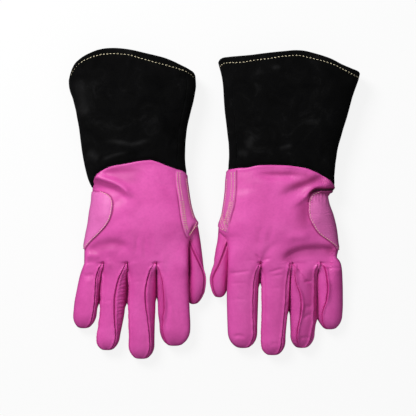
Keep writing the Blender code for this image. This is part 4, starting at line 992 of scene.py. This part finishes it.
def suede(name):
    """Black split leather: napped, nearly without gloss, faintly mottled, with painted highlights: lighter streaks
    along the folds, set by the groove attribute.
    """
    m = bpy.data.materials.new(name)
    t, n, l, p = nodes_of(m)
    co = n.new("ShaderNodeTexCoord")
    nap = n.new("ShaderNodeTexNoise")
    nap.inputs["Scale"].default_value = 42.0
    nap.inputs["Detail"].default_value = 9.0
    nap.inputs["Roughness"].default_value = 0.72
    nap.inputs["Distortion"].default_value = 0.6
    l.new(co.outputs["Object"], nap.inputs["Vector"])
    tone = ramp(n, [(0.32, (0.0009, 0.0009, 0.0010, 1)), (0.55, (0.0021, 0.0021, 0.0022, 1)), (0.78, (0.0085, 0.0084, 0.0087, 1))])
    l.new(nap.outputs["Fac"], tone.inputs["Fac"])
    # painted highlight: the colour turns lighter grey where the groove attribute marks streaks along the cuff folds
    att = n.new("ShaderNodeAttribute")
    att.attribute_name = "groove"
    worn = n.new("ShaderNodeMath")
    worn.operation = "MULTIPLY"
    l.new(att.outputs["Fac"], worn.inputs[0])
    l.new(nap.outputs["Fac"], worn.inputs[1])
    highlight_mix = n.new("ShaderNodeMix")
    highlight_mix.data_type = "RGBA"
    l.new(worn.outputs[0], highlight_mix.inputs["Factor"])
    l.new(tone.outputs["Color"], highlight_mix.inputs[6])
    highlight_mix.inputs[7].default_value = (0.0200, 0.0198, 0.0204, 1)
    l.new(highlight_mix.outputs[2], p.inputs["Base Color"])
    fuzz = n.new("ShaderNodeTexNoise")
    fuzz.inputs["Scale"].default_value = 1500.0
    fuzz.inputs["Detail"].default_value = 3.0
    l.new(co.outputs["Object"], fuzz.inputs["Vector"])
    b1 = n.new("ShaderNodeBump")
    b1.inputs["Strength"].default_value = 0.45
    b1.inputs["Distance"].default_value = 0.0006
    l.new(fuzz.outputs["Fac"], b1.inputs["Height"])
    b2 = n.new("ShaderNodeBump")
    b2.inputs["Strength"].default_value = 0.25
    b2.inputs["Distance"].default_value = 0.0015
    l.new(nap.outputs["Fac"], b2.inputs["Height"])
    l.new(b1.outputs["Normal"], b2.inputs["Normal"])
    l.new(b2.outputs["Normal"], p.inputs["Normal"])
    rr = n.new("ShaderNodeMapRange")
    rr.inputs["To Min"].default_value, rr.inputs["To Max"].default_value = 1.0, 0.86
    l.new(nap.outputs["Fac"], rr.inputs["Value"])
    l.new(rr.outputs["Result"], p.inputs["Roughness"])
    p.inputs["Specular IOR Level"].default_value = 0.05
    p.inputs["Sheen Weight"].default_value = 0.014
    p.inputs["Sheen Roughness"].default_value = 0.5
    p.inputs["Sheen Tint"].default_value = (0.75, 0.75, 0.8, 1)
    return m


def cotton(name, base, dark):
    """Twisted sewing thread."""
    m = bpy.data.materials.new(name)
    t, n, l, p = nodes_of(m)
    co = n.new("ShaderNodeTexCoord")
    ply = n.new("ShaderNodeTexWave")
    ply.inputs["Scale"].default_value = 520.0
    ply.inputs["Distortion"].default_value = 2.5
    l.new(co.outputs["Object"], ply.inputs["Vector"])
    tone = ramp(n, [(0.15, (*dark, 1)), (0.75, (*base, 1))])
    l.new(ply.outputs["Fac"], tone.inputs["Fac"])
    l.new(tone.outputs["Color"], p.inputs["Base Color"])
    b = n.new("ShaderNodeBump")
    b.inputs["Strength"].default_value = 0.5
    b.inputs["Distance"].default_value = 0.0002
    l.new(ply.outputs["Fac"], b.inputs["Height"])
    l.new(b.outputs["Normal"], p.inputs["Normal"])
    p.inputs["Roughness"].default_value = 0.75
    p.inputs["Specular IOR Level"].default_value = 0.25
    return m


PINK = leather("pink_grain_leather", (0.582, 0.064, 0.322), (0.646, 0.078, 0.367), (0.697, 0.098, 0.409))
PATCHED = leather("pink_patch_leather", (0.606, 0.110, 0.377), (0.672, 0.136, 0.429), (0.724, 0.164, 0.473), rough=0.45, grain=0.18)
STRAP = leather("pink_strap_leather", (0.652, 0.102, 0.397), (0.718, 0.124, 0.449), (0.768, 0.148, 0.493), rough=0.45, grain=0.18)
SUEDE = suede("black_split_suede")
THREAD = cotton("cream_thread", (0.78, 0.71, 0.50), (0.50, 0.43, 0.27))
FINE = cotton("cream_thread_fine", (0.82, 0.58, 0.47), (0.58, 0.33, 0.30))


def dress(ob, mat, slot_name, *nodes):
    ob.data.materials.clear()
    ob.data.materials.append(mat)
    if nodes:
        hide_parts(*nodes)
    return ob


def as_sheet(ob):
    """Measures a sewn panel's width from its own leather; the result is not used."""
    lo = np.array([v.co for v in ob.data.vertices])
    ext = np.sort(lo.max(0) - lo.min(0))[::-1]
    w = max(ext[1], 0.012)


def build(g):
    n = g["name"]
    side = g["thumb_side"]
    hand_body, cuff_body = n + "_hand", n + "_cuff"
    bumps = creases(g)
    order = ["index", "middle", "ring", "little"] if side > 0 else ["little", "ring", "middle", "index"]
    # side walls of neighbouring fingers meet low down, as far as the web between them reaches
    def edge_of(f, sign):
        r = g["fingers"][f]["rows"]
        mid, half = curve([(q[0], q[1]) for q in r]), curve([(q[0], q[2]) for q in r])
        return lambda y: mid(y) + sign * half(y)

    belly = {f: {1: None, -1: None} for f in order}
    for a, b in zip(order[:-1], order[1:]):                 # a is right of b
        shut = g["webs"][a if side > 0 else b]
        gap = lambda y, a=a, b=b: np.maximum(edge_of(a, -1)(y) - edge_of(b, 1)(y), 0)
        web = lambda y, gap=gap, shut=shut: (0.5 * gap(y) + 1.7) * smooth(CROTCH, CROTCH + 3, y) * smooth(shut + 9, shut - 2, y)
        belly[a][-1] = belly[b][1] = web
    none = lambda y: np.zeros(len(y))
    grids = {f: finger_grid(g["fingers"][f], bumps, (belly[f][1] or none, belly[f][-1] or none), THIN[f]) for f in order}
    hand = Hand(g, [(grids[f][0], grids[f][1], grids[f][4]) for f in order])

    # ---- hand back and palm
    for part, root, us, under in (("back", hand.top, hand.u_top, False), ("palm", hand.low, hand.u_low, True)):
        even = us[0] + (us[-1] - us[0]) * (0.5 - 0.5 * np.cos(np.linspace(0, math.pi, len(us))))
        y0 = hand.start(even, under)
        k = np.linspace(0, 1, 104)
        k = 0.55 * k + 0.45 * (1 - (1 - k) ** 1.6)
        k = np.concatenate([[0, 0.003, 0.007, 0.012, 0.018, 0.025], k[k > 0.03]])
        Y = y0[None] + (CROTCH - y0)[None] * k[:, None]
        into = smooth(CROTCH - 36, CROTCH - 2, Y)
        U = even[None] * (1 - into) + us[None] * into
        P = hand.skin(U, Y, under)
        P[-1] = root
        # painted shade in the groove of the wrist seam
        gr = 0.8 * np.exp(-(((Y - y0[None]) * 1.1) / 0.8) ** 2)
        if not under:
            # painted shade in the deep folds (the shades list), and painted shadow beside the edges where the patch and
            # the strap are sewn down
            gr = np.maximum(gr, creases(g, "shades", (0.0, 0.0, 0.0))(P[..., 0], P[..., 1]))
            for path, r0, r1 in ((g["patch"], *g["patch_rows"]), (g["strap_in"], *g["strap_rows"])):
                ys = np.linspace(r0, r1, 160)
                away = np.hypot(P[..., 0, None] - curve(path)(ys), P[..., 1, None] - ys).min(-1)
                if path is g["patch"]:
                    gr = np.maximum(gr, 1.45 * np.exp(-(away / 0.95) ** 2))
                else:
                    gr = np.maximum(gr, 1.3 * np.exp(-(away / 0.85) ** 2) * curve(g["strap_edge"])(P[..., 1]))
        ob = grid_mesh(f"{n}_hand_{part}", P, groove=gr)
        mid = float((hand.left(215) + hand.right(215)) / 2)
        mx = (mid - X0) * GRID
        outward(ob, lambda c: Vector((mx, c.y, 0.017)))
        dress(ob, PINK, "hand_leather", f"{n}_{part}_panel")
        if part == "back":
            back = ob
        as_sheet(ob)
        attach(ob, hand_body)

    # ---- fingers
    for f in order:
        P, begin, (s1, s2), (gr, bl), _ = grids[f]
        thumb_is_right = side > 0
        right_name = "thumb" if thumb_is_right else "little"
        left_name = "little" if thumb_is_right else "thumb"
        jobs = []
        a = 1 if s1 else 5
        b = 2 if s2 else 4
        jobs.append(("back", a, b, [f"{n}_{f}_back"]))
        jobs.append(("palm", 4, 5, [f"{n}_{f}_palm"]))
        if s1:
            jobs.append((f"strip_{right_name}_side", 5, 1, [f"{n}_{f}_fourchette_{right_name}_side"]))
        if s2:
            jobs.append((f"strip_{left_name}_side", 2, 4, [f"{n}_{f}_fourchette_{left_name}_side"]))
        mid_col = curve([(r[0], r[1]) for r in g["fingers"][f]["rows"]] + [(g["fingers"][f]["tip"][0], g["fingers"][f]["tip"][1])])
        tip_centre = P[-1].mean(0)
        for part, a, b, nodes in jobs:
            idx = strip(P, a, b, begin)
            Q = P[:, idx]
            Q = np.concatenate([Q, np.repeat(tip_centre[None, None], len(idx), 1)], 0)
            G, B = (np.concatenate([v[:, idx], np.zeros((1, len(idx)))], 0) for v in (gr, bl))
            ob = grid_mesh(f"{n}_{f}_{part}_leather", Q, groove=G, painted_bounce=B)
            bm = bmesh.new()
            bm.from_mesh(ob.data)
            bmesh.ops.remove_doubles(bm, verts=bm.verts, dist=2e-6)
            bm.to_mesh(ob.data)
            bm.free()
            outward(ob, lambda c: Vector(((float(mid_col(Y0 - c.y / GRID)) - X0) * GRID, min(c.y + 0.004, c.y), 0.012)))
            dress(ob, PINK, "hand_leather", *nodes)
            as_sheet(ob)
            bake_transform(ob)

    # ---- thumb
    P, begin, gr, bl = thumb_grid(g, bumps)
    outer, inner = ((3, 1), (1, 3)) if side > 0 else ((1, 3), (3, 1))
    tip_centre = P[-1].mean(0)
    t_mid = curve([(r[0], r[1]) for r in g["thumb"]["rows"]] + [(g["thumb"]["tip"][0], g["thumb"]["tip"][1])])
    for part, (a, b) in (("outer", outer), ("inner", inner)):
        idx = strip(P, a, b, begin)
        Q = np.concatenate([P[:, idx], np.repeat(tip_centre[None, None], len(idx), 1)], 0)
        G, B = (np.concatenate([v[:, idx], np.zeros((1, len(idx)))], 0) for v in (gr, bl))
        ob = grid_mesh(f"{n}_thumb_{part}_leather", Q, groove=G, painted_bounce=B)
        bm = bmesh.new()
        bm.from_mesh(ob.data)
        bmesh.ops.remove_doubles(bm, verts=bm.verts, dist=2e-6)
        bm.to_mesh(ob.data)
        bm.free()
        outward(ob, lambda c: Vector(((float(t_mid(Y0 - c.y / GRID)) - X0) * GRID, c.y, 0.012)))
        dress(ob, PINK, "hand_leather", f"{n}_thumb_{part}")
        as_sheet(ob)
        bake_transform(ob)

    # ---- patch round the little-finger edge
    r0, r1 = g["patch_rows"]
    edge = curve(g["patch"])
    yy = np.linspace(r0, r1, 150)
    yy = r0 + (r1 - r0) * (0.5 - 0.5 * np.cos(np.linspace(0.0, 1.0, 150) * math.pi)) * 0.35 + (yy - r0) * 0.65
    ang = hand.angle(edge(yy), yy)
    far = math.pi + math.radians(42) if side > 0 else -math.radians(42)
    ends = np.full(len(yy), far)
    ends = ends + (ang - ends) * (0.0 + 0.55 * smooth(r1 - 12, r1, yy))
    psi = spread(ang, ends, 64, 0.10)
    Yg = np.repeat(yy[:, None], psi.shape[1], 1)
    base = hand.at_angle(psi, Yg)
    N = normals(base)
    if N[..., 2].mean() < 0:
        N = -N
    edge_mm = np.cumsum(np.concatenate([np.zeros((len(yy), 1)), np.linalg.norm(np.diff(base * np.array([1.1, 1.1, 1.0]), axis=1), axis=-1)], 1), 1)
    from_end = edge_mm[:, -1:] - edge_mm
    ends_mm = np.minimum((Yg - r0), (r1 - Yg)) * 1.1
    inset = np.minimum(np.minimum(edge_mm, from_end), ends_mm + 0.0)
    lift = -0.5 + 2.0 * (1 - np.exp(-(inset / 0.55) ** 1.2)) - 0.35 * np.exp(-((inset - 2.3) / 0.8) ** 2)
    stir = waves(77, 12.0)
    cross_fold = (0.03 if side > 0 else 0.15) * np.sin(Yg * 2.9 + 0.25 * base[..., 0] + 1.8 * stir(base[..., 0], Yg)) * (0.6 + 0.5 * stir(Yg, base[..., 0])) * smooth(2, 7, inset)
    if side < 0:
        cross_fold = cross_fold * smooth(202, 214, Yg) + 0.32 * np.sin(base[..., 0] * 2.1 + 0.9 * stir(Yg, base[..., 0])) * np.exp(-((Yg - r0 - 4) / 8.0) ** 2) * smooth(1.5, 4, inset)
    P = shift(base, N, lift + cross_fold * smooth(0.15, 0.6, N[..., 2]))
    P[..., 2] = np.maximum(P[..., 2], 0.1)
    # painted shadow along the patch's edge, and painted shade over the whole left patch
    gr = np.maximum(np.exp(-(inset / 0.6) ** 2), g["patch_shade"])
    if side < 0:
        gr = np.maximum(gr, 1.2 * smooth(200.5, 191.0, Yg))              # painted shadow under the fold that hangs over the patch
    ob = grid_mesh(f"{n}_side_patch_leather", P, groove=gr)
    cx = (float((hand.left(220) + hand.right(220)) / 2) - X0) * GRID
    outward(ob, lambda c: Vector((cx, c.y, 0.017)))
    dress(ob, PATCHED, "hand_leather", f"{n}_side_patch")
    as_sheet(ob)
    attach(ob, hand_body)
    # its stitches, just inside the edge
    kk = np.linspace(0.012, 0.985, 90)
    ys = r0 + (r1 - r0) * kk
    inset_col = 1.35 * (1 if side < 0 else -1)
    xs = edge(ys) + inset_col
    rows_top = []
    a0 = hand.angle(xs, ys)
    pts = hand.at_angle(a0[:, None] + np.array([[0.0, 0.02]]), np.repeat(ys[:, None], 2, 1))
    nn = np.repeat(np.array([[0, 0, 1.0]]), len(ys), 0)
    line = pts[:, 0]
    dz = np.gradient(hand.at_angle(a0[:, None] + np.array([[-0.03, 0.0, 0.03]]), np.repeat(ys[:, None], 3, 1)), axis=1)[:, 1]
    dy = np.gradient(line, axis=0)
    up = np.cross(dz * np.array([1.1, -1.1, 1]), dy * np.array([1.1, -1.1, 1]))
    up = unit(np.where(up[:, 2:3] < 0, -up, up))
    line = shift(line, up, np.full(len(line), 1.25))
    ob = stitches(f"{n}_side_patch_stitches", place(line), up, 1.9, 0.9, 0.36)
    dress(ob, FINE, "thread", f"{n}_patch_thread")
    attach(ob, hand_body)

    # ---- strap along the thumb edge
    q0, q1 = g["strap_rows"]
    s_in, s_arm = curve(g["strap_in"]), curve(g["strap_arm"])
    yy = np.linspace(q0, q1, 84)
    a_in = hand.angle(s_in(yy), yy)
    arm_first = g["strap_arm"][0][0]
    wrap = -math.radians(24) if side > 0 else math.pi + math.radians(24)
    a_arm = hand.angle(s_arm(yy), yy)
    k = smooth(arm_first - 4, arm_first + 1.5, yy)
    a_out = wrap * (1 - k) + a_arm * k
    psi = spread(a_in, a_out, 26, 0.10)
    Yg = np.repeat(yy[:, None], psi.shape[1], 1)
    base = hand.at_angle(psi, Yg)
    N = normals(base)
    if N[..., 2].mean() < 0:
        N = -N
    edge_mm = np.cumsum(np.concatenate([np.zeros((len(yy), 1)), np.linalg.norm(np.diff(base * np.array([1.1, 1.1, 1.0]), axis=1), axis=-1)], 1), 1)
    from_end = edge_mm[:, -1:] - edge_mm
    ends_mm = np.minimum((Yg - q0) * 1.1 + 0.9, (q1 - Yg) * 1.1)
    inset = np.minimum(np.minimum(edge_mm, from_end), ends_mm)
    d_seam = (Yg - hand.start(power(np.cos(psi), ROUND_HAND), False)) * 1.1
    bold = curve(g["strap_edge"])(Yg)
    fold = creases(g, "strap_folds", (0.0, 0.0, 0.0))(base[..., 0], base[..., 1])
    lift = -0.5 + 1.4 * (1 - np.exp(-(inset / 0.5) ** 1.2)) - 0.25 * np.exp(-((inset - 1.6) / 0.5) ** 2) - 0.25 * np.exp(-((inset - 4.2) / 0.5) ** 2)
    lift = lift * (1 - 0.6 * (1 - bold) * np.exp(-(edge_mm / 4.0) ** 2)) - 0.55 * fold
    ladder = 0.20 * np.sin(Yg * 1.1 * math.tau / 2.3) * np.exp(-((inset - 3.6) / 1.9) ** 2) * smooth(q0 + 12, q0 + 26, Yg) * smooth(q1, q1 - 6, Yg)
    P = shift(base, N, (lift + ladder) * smooth(0.2, 3.0, d_seam) - 0.6 * (1 - smooth(0.2, 3.0, d_seam)))
    # painted shadow along the strap's edges and in its folds, and painted shade over the whole left strap
    ob = grid_mesh(f"{n}_thumb_strap_leather", P, groove=np.maximum(np.maximum(np.exp(-(inset / 0.6) ** 2) * np.where(edge_mm < 3, bold, 1.0), 1.25 * fold), g["strap_shade"]))
    outward(ob, lambda c: Vector((cx, c.y, 0.017)))
    dress(ob, STRAP, "hand_leather", f"{n}_thumb_strap")
    as_sheet(ob)
    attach(ob, hand_body)

    def surface_line(xs, ys, mm):
        a0 = hand.angle(xs, ys)
        three = hand.at_angle(a0[:, None] + np.array([[-0.03, 0.0, 0.03]]), np.repeat(ys[:, None], 3, 1))
        line = three[:, 1]
        dx = three[:, 2] - three[:, 0]
        dy = np.gradient(line, axis=0)
        up = np.cross(dx * np.array([1.1, -1.1, 1]), dy * np.array([1.1, -1.1, 1]))
        up = unit(np.where(up[:, 2:3] < 0, -up, up))
        return place(shift(line, up, np.full(len(line), mm))), up

    rows3 = []
    sgn = 1 if side > 0 else -1
    row_a, row_b = (1.5, 4.0) if side > 0 else (1.6, 4.7)
    for inset_col in (row_a, row_b):
        change = q0 + 30.0
        ys = np.linspace(q0 + 1.0, change, 40)
        rows3.append((s_in(ys) + sgn * inset_col, ys, 1.7, 0.9, 0.42))
        ys = np.linspace(change + 0.6, q1 - 4.5 - inset_col * 0.8, 50)
        rows3.append((s_in(ys) + sgn * inset_col, ys, 1.3, 1.1, 0.33))
    ys = np.linspace(arm_first + 2.0, q1 - 3.0, 30)
    rows3.append((s_arm(ys) - sgn * 1.3, ys, 1.7, 0.9, 0.40))
    ys = np.linspace(q0 + 8.0, arm_first - 5.0, 50)
    rows3.append(((hand.right(ys) if side > 0 else hand.left(ys)) - sgn * 1.5, ys, 1.7, 0.9, 0.40))
    for path in g["strap_extra"]:
        ys = np.linspace(path[0][0], path[-1][0], 30)
        rows3.append((curve(path)(ys), ys, 1.5, 0.9, 0.36))
    obs = []
    for k, (xs, ys, dash, gap_mm, thick) in enumerate(rows3):
        line, up = surface_line(xs, ys, 0.95)
        obs.append(stitches(f"{n}_thumb_strap_stitches_{k + 1}", line, up, dash, gap_mm, thick))
    ys = np.arange(q0 + 31.0, q1 - 9.0, 1.75)
    one, up = surface_line(s_in(ys) + sgn * (row_a + 0.4), ys, 1.12)
    two, _ = surface_line(s_in(ys) + sgn * (row_b + 1.4), ys + 0.3, 1.12)
    obs.append(bars(f"{n}_thumb_strap_cross_stitches", list(zip(one, two)), up, 0.26))
    for k, ob in enumerate(obs):
        dress(ob, FINE, "thread", *([f"{n}_strap_thread"] if k == 0 else []))
        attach(ob, hand_body)

    # ---- cuff
    cl, cr = hand.left, hand.right
    mouth_u, mouth_y = hand.crossing(g["cuff_top"])
    swell, ripple = waves(31 if side > 0 else 47, 46), waves(9 if side > 0 else 15, 17)
    folds, fold_highlights = creases(g, "cuff_creases", (0.0, 0.0, 0.0)), creases(g, "cuff_highlights", (0.0, 0.0, 0.0))

    def cuff_point(psi, v, inward=0.0):
        """v from 0 at the mouth to 1 at the wrist seam."""
        u = power(np.cos(psi), ROUND_HAND)
        under = np.sin(psi) < 0
        y_end = np.where(under, hand.start(u, True), hand.start(u))
        y_top = np.interp(u, mouth_u, mouth_y) + np.where(under, 6.0 * np.abs(np.sin(psi)), 0.0)
        y = y_top + (y_end - y_top) * v
        a, b = cl(y), cr(y)
        half = (b - a) / 2 - inward / 1.1
        x = (a + b) / 2 + half * u
        H = CUFF_HEIGHT(y)
        mid = 0.44 * H
        e = ROUND_HAND
        s = np.abs(np.sin(psi)) ** (2 / e)
        z = np.where(under, mid - (mid - inward) * np.minimum(1, np.abs(np.sin(psi)) ** (2 / 2.9)), mid + (H - mid - inward) * s)
        rim_side = np.abs(u) ** 8
        wave = (0.9 * swell(x, y) + 0.22 * ripple(x, y) + np.where(under, 0.0, 1.0) * folds(x, y)) * (1 - 0.8 * rim_side)
        d = (y_end - y) * 1.1
        roll = (-1.5 * np.exp(-(d / 1.5) ** 2) + 0.5 * np.exp(-((d - 4.5) / 3.0) ** 2)) * (1 - 0.75 * rim_side)
        dx, dz = (x - (a + b) / 2) * 1.1, (z - mid) * 2.2
        ln = np.maximum(np.hypot(dx, dz), 1e-6)
        push = roll + np.where(under, 0.25, 1.0) * wave * smooth(0.0, 10.0, d)
        x, z = x + push * dx / ln / 1.1, z + push * dz / ln
        return np.stack([x, y, np.maximum(z, 0.15 + inward)], -1)

    seam_a = math.radians(34) if side > 0 else math.radians(146)      # the cuff's sewn edge on the thumb side
    seam_b = math.radians(180 + 4) if side > 0 else math.radians(-4)
    v = np.concatenate([np.linspace(0, 0.12, 16)[:-1], np.linspace(0.12, 0.97, 66)[:-1], np.linspace(0.97, 1, 9)])
    for part in ("back", "palm"):
        if side > 0:
            lo, hi = (seam_a, seam_b) if part == "back" else (seam_b, seam_a + math.tau)
        else:
            lo, hi = (seam_b, seam_a) if part == "back" else (seam_a, seam_b + math.tau)
        psi = spread(np.array(lo), np.array(hi), 118, 0.05)
        PSI, V = np.meshgrid(psi, v)
        outer = cuff_point(PSI, V)
        # sewn side edges sink a little
        from_edge = np.minimum(PSI - lo, hi - PSI) * 45.0
        inn = unit(np.stack([(outer[..., 0].mean(1, keepdims=True) - outer[..., 0]) * 1.1, np.zeros_like(PSI), 17.0 - outer[..., 2]], -1))
        outer = shift(outer, inn, 0.7 * np.exp(-(from_edge / 1.0) ** 2))
        # turned hem: round over the edge and down inside
        turn = []
        tv = (v[1] - v[0])
        rim = cuff_point(psi[None], np.zeros((1, len(psi))))[0]
        rin = inn[0]
        for h in np.linspace(0.25, 1.0, 5):
            a = h * math.pi
            q = rim + np.stack([rin[:, 0] / 1.1, np.zeros(len(psi)), rin[:, 2]], -1) * (1.5 * (1 - math.cos(a))) + np.array([0, -1.0, 0]) * (1.5 * math.sin(a)) / 1.1
            turn.append(q)
        for w in (0.02, 0.05, 0.08, 0.105, 0.118):
            q = cuff_point(psi[None], np.full((1, len(psi)), w))[0]
            turn.append(q + np.stack([rin[:, 0] / 1.1, np.zeros(len(psi)), rin[:, 2]], -1) * 3.0)
        P = np.concatenate([np.array(turn)[::-1], outer], 0)
        # distance of each row from the row of the hem stitches; nothing uses it
        dist = np.abs(np.concatenate([np.full(len(turn), 1.0), v]) - 0.052)
        # painted highlight: lighter streaks along the folds of the cuff's back
        worn = np.clip(fold_highlights(outer[..., 0], outer[..., 1]), 0.0, 1.0) * (part == "back")
        gr = np.concatenate([np.zeros((len(turn), len(psi))), worn], 0)
        ob = grid_mesh(f"{n}_cuff_{part}_suede", P, groove=gr)
        ccx = (float((cl(110) + cr(110)) / 2) - X0) * GRID
        thick_sign = outward(ob, lambda c: Vector((ccx, c.y, 0.018)))
        thicken(ob, 1.3)
        dress(ob, SUEDE, "cuff_suede", f"{n}_cuff_{part}")
        as_sheet(ob)
        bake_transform(ob)

    # ---- hem stitches
    hem = along(g["hem"], step=1.0)

    def cuff_line(path, mm):
        pts, ups = [], []
        for x, y in path:
            a, b = float(cl(y)), float(cr(y))
            u = min(0.9985, max(-0.9985, 2 * (x - a) / (b - a) - 1))
            ps = math.acos(math.copysign(abs(u) ** (ROUND_HAND / 2), u))
            top = float(cuff_point(np.array([[ps]]), np.array([[0.0]]))[0, 0, 1])
            end = float(cuff_point(np.array([[ps]]), np.array([[1.0]]))[0, 0, 1])
            vv = (y - top) / (end - top)
            q = cuff_point(np.array([[ps - 0.02, ps, ps + 0.02]]), np.array([[vv, vv, vv]]))[0]
            q2 = cuff_point(np.array([[ps]]), np.array([[vv + 0.01]]))[0, 0]
            k = np.array([1.1, -1.1, 1.0])
            up = np.cross((q[2] - q[0]) * k, (q2 - q[1]) * k)
            up = up / np.linalg.norm(up)
            if up[2] < 0:
                up = -up
            pts.append(q[1])
            ups.append(up)
        pts, ups = np.array(pts), np.array(ups)
        return place(shift(pts, ups, np.full(len(pts), mm))), ups

    line, up = cuff_line(hem, 0.15)
    ob = stitches(f"{n}_hem_stitches", line, up, 2.1, 1.7, 0.35, worn=g["hem_worn"])
    dress(ob, THREAD, "thread", f"{n}_hem_thread")
    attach(ob, cuff_body)

    # ---- welt inside the wrist seam
    ring = []
    for psi in np.linspace(0, math.tau, 150, endpoint=False):
        q = cuff_point(np.array([[psi]]), np.array([[1.0]]))[0, 0]
        ring.append(q)
    ring = np.array(ring)
    mid = np.array([ring[:, 0].mean(), 0, 17.0])
    d = ring - mid
    d[:, 1] = 0
    d = unit(d * np.array([1.1, 1, 1]))
    ring = ring - d * 0.6 / np.array([1.1, 1, 1])
    ring[:, 2] = np.maximum(ring[:, 2], 1.2)
    ob = tube(f"{n}_wrist_welt_piping", place(ring), 0.0010)
    dress(ob, SUEDE, "cuff_suede", f"{n}_wrist_welt")
    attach(ob, hand_body)


for glove in (RIGHT, LEFT):
    build(glove)

# ------------------------------------------------------------------------ stage
scene = bpy.context.scene
floor_mesh = bpy.data.meshes.new("floor")
floor_mesh.from_pydata([(-6, -6, 0), (6, -6, 0), (6, 6, 0), (-6, 6, 0)], [], [(0, 1, 2, 3)])
floor = bpy.data.objects.new("floor", floor_mesh)
scene.collection.objects.link(floor)
floor.location.z = -0.0004
fm = bpy.data.materials.new("pale_floor")
t, nn_, ll_, pp_ = nodes_of(fm)
pp_.inputs["Base Color"].default_value = (0.10, 0.10, 0.10, 1)
pp_.inputs["Roughness"].default_value = 0.9
pp_.inputs["Specular IOR Level"].default_value = 0.0
pp_.inputs["Emission Color"].default_value = (1.0, 1.0, 1.0, 1)
pp_.inputs["Emission Strength"].default_value = 0.86
floor_mesh.materials.append(fm)
floor.visible_diffuse = floor.visible_glossy = False      # it sends no light back up, so the leather keeps its own deep shade

world = bpy.data.worlds.new("studio")
world.use_nodes = True
wt = world.node_tree
sky = wt.nodes["Background"]
where = wt.nodes.new("ShaderNodeTexCoord")
parts = wt.nodes.new("ShaderNodeSeparateXYZ")
rise = ramp(wt.nodes, [(0.48, (0.12, 0.12, 0.12, 1)), (0.78, (1.0, 1.0, 1.0, 1))])
half_up = wt.nodes.new("ShaderNodeMath")
half_up.operation = "MULTIPLY_ADD"
half_up.inputs[1].default_value, half_up.inputs[2].default_value = 0.5, 0.5
wt.links.new(where.outputs["Generated"], parts.inputs[0])
wt.links.new(parts.outputs["Z"], half_up.inputs[0])
wt.links.new(half_up.outputs[0], rise.inputs["Fac"])
wt.links.new(rise.outputs["Color"], sky.inputs["Color"])
sky.inputs["Strength"].default_value = 0.38
backdrop = wt.nodes.new("ShaderNodeBackground")
backdrop.inputs["Color"].default_value = (0.86, 0.86, 0.86, 1)
seen = wt.nodes.new("ShaderNodeLightPath")
either = wt.nodes.new("ShaderNodeMixShader")
wt.links.new(seen.outputs["Is Camera Ray"], either.inputs["Fac"])
wt.links.new(sky.outputs[0], either.inputs[1])
wt.links.new(backdrop.outputs[0], either.inputs[2])
wt.links.new(either.outputs[0], wt.nodes["World Output"].inputs["Surface"])
scene.world = world


def area_light(name, place_, aim, size, watts, colour=(1, 1, 1)):
    d = bpy.data.lights.new(name, "AREA")
    d.shape, d.size, d.energy, d.color = "DISK", size, watts, colour
    o = bpy.data.objects.new(name, d)
    o.location = place_
    o.rotation_euler = (Vector(aim) - Vector(place_)).to_track_quat("-Z", "Y").to_euler()
    scene.collection.objects.link(o)
    return o


area_light("key", (-0.60, 0.72, 1.0), (0, 0, 0), 0.6, 18)
area_light("fill", (0.3, -0.3, 1.7), (0, 0, 0), 1.2, 3)

cam_data = bpy.data.cameras.new("camera")
cam_data.lens, cam_data.sensor_width = LENS, SENSOR
cam = bpy.data.objects.new("camera", cam_data)
cam.location = ((MIDDLE - X0) * GRID, (Y0 - MIDDLE) * GRID, (PLANE + FAR) * 1e-3)
cam.rotation_euler = (0, 0, 0)
scene.collection.objects.link(cam)
scene.camera = cam
scene.view_settings.view_transform = "Standard"
scene.view_settings.look = "None"
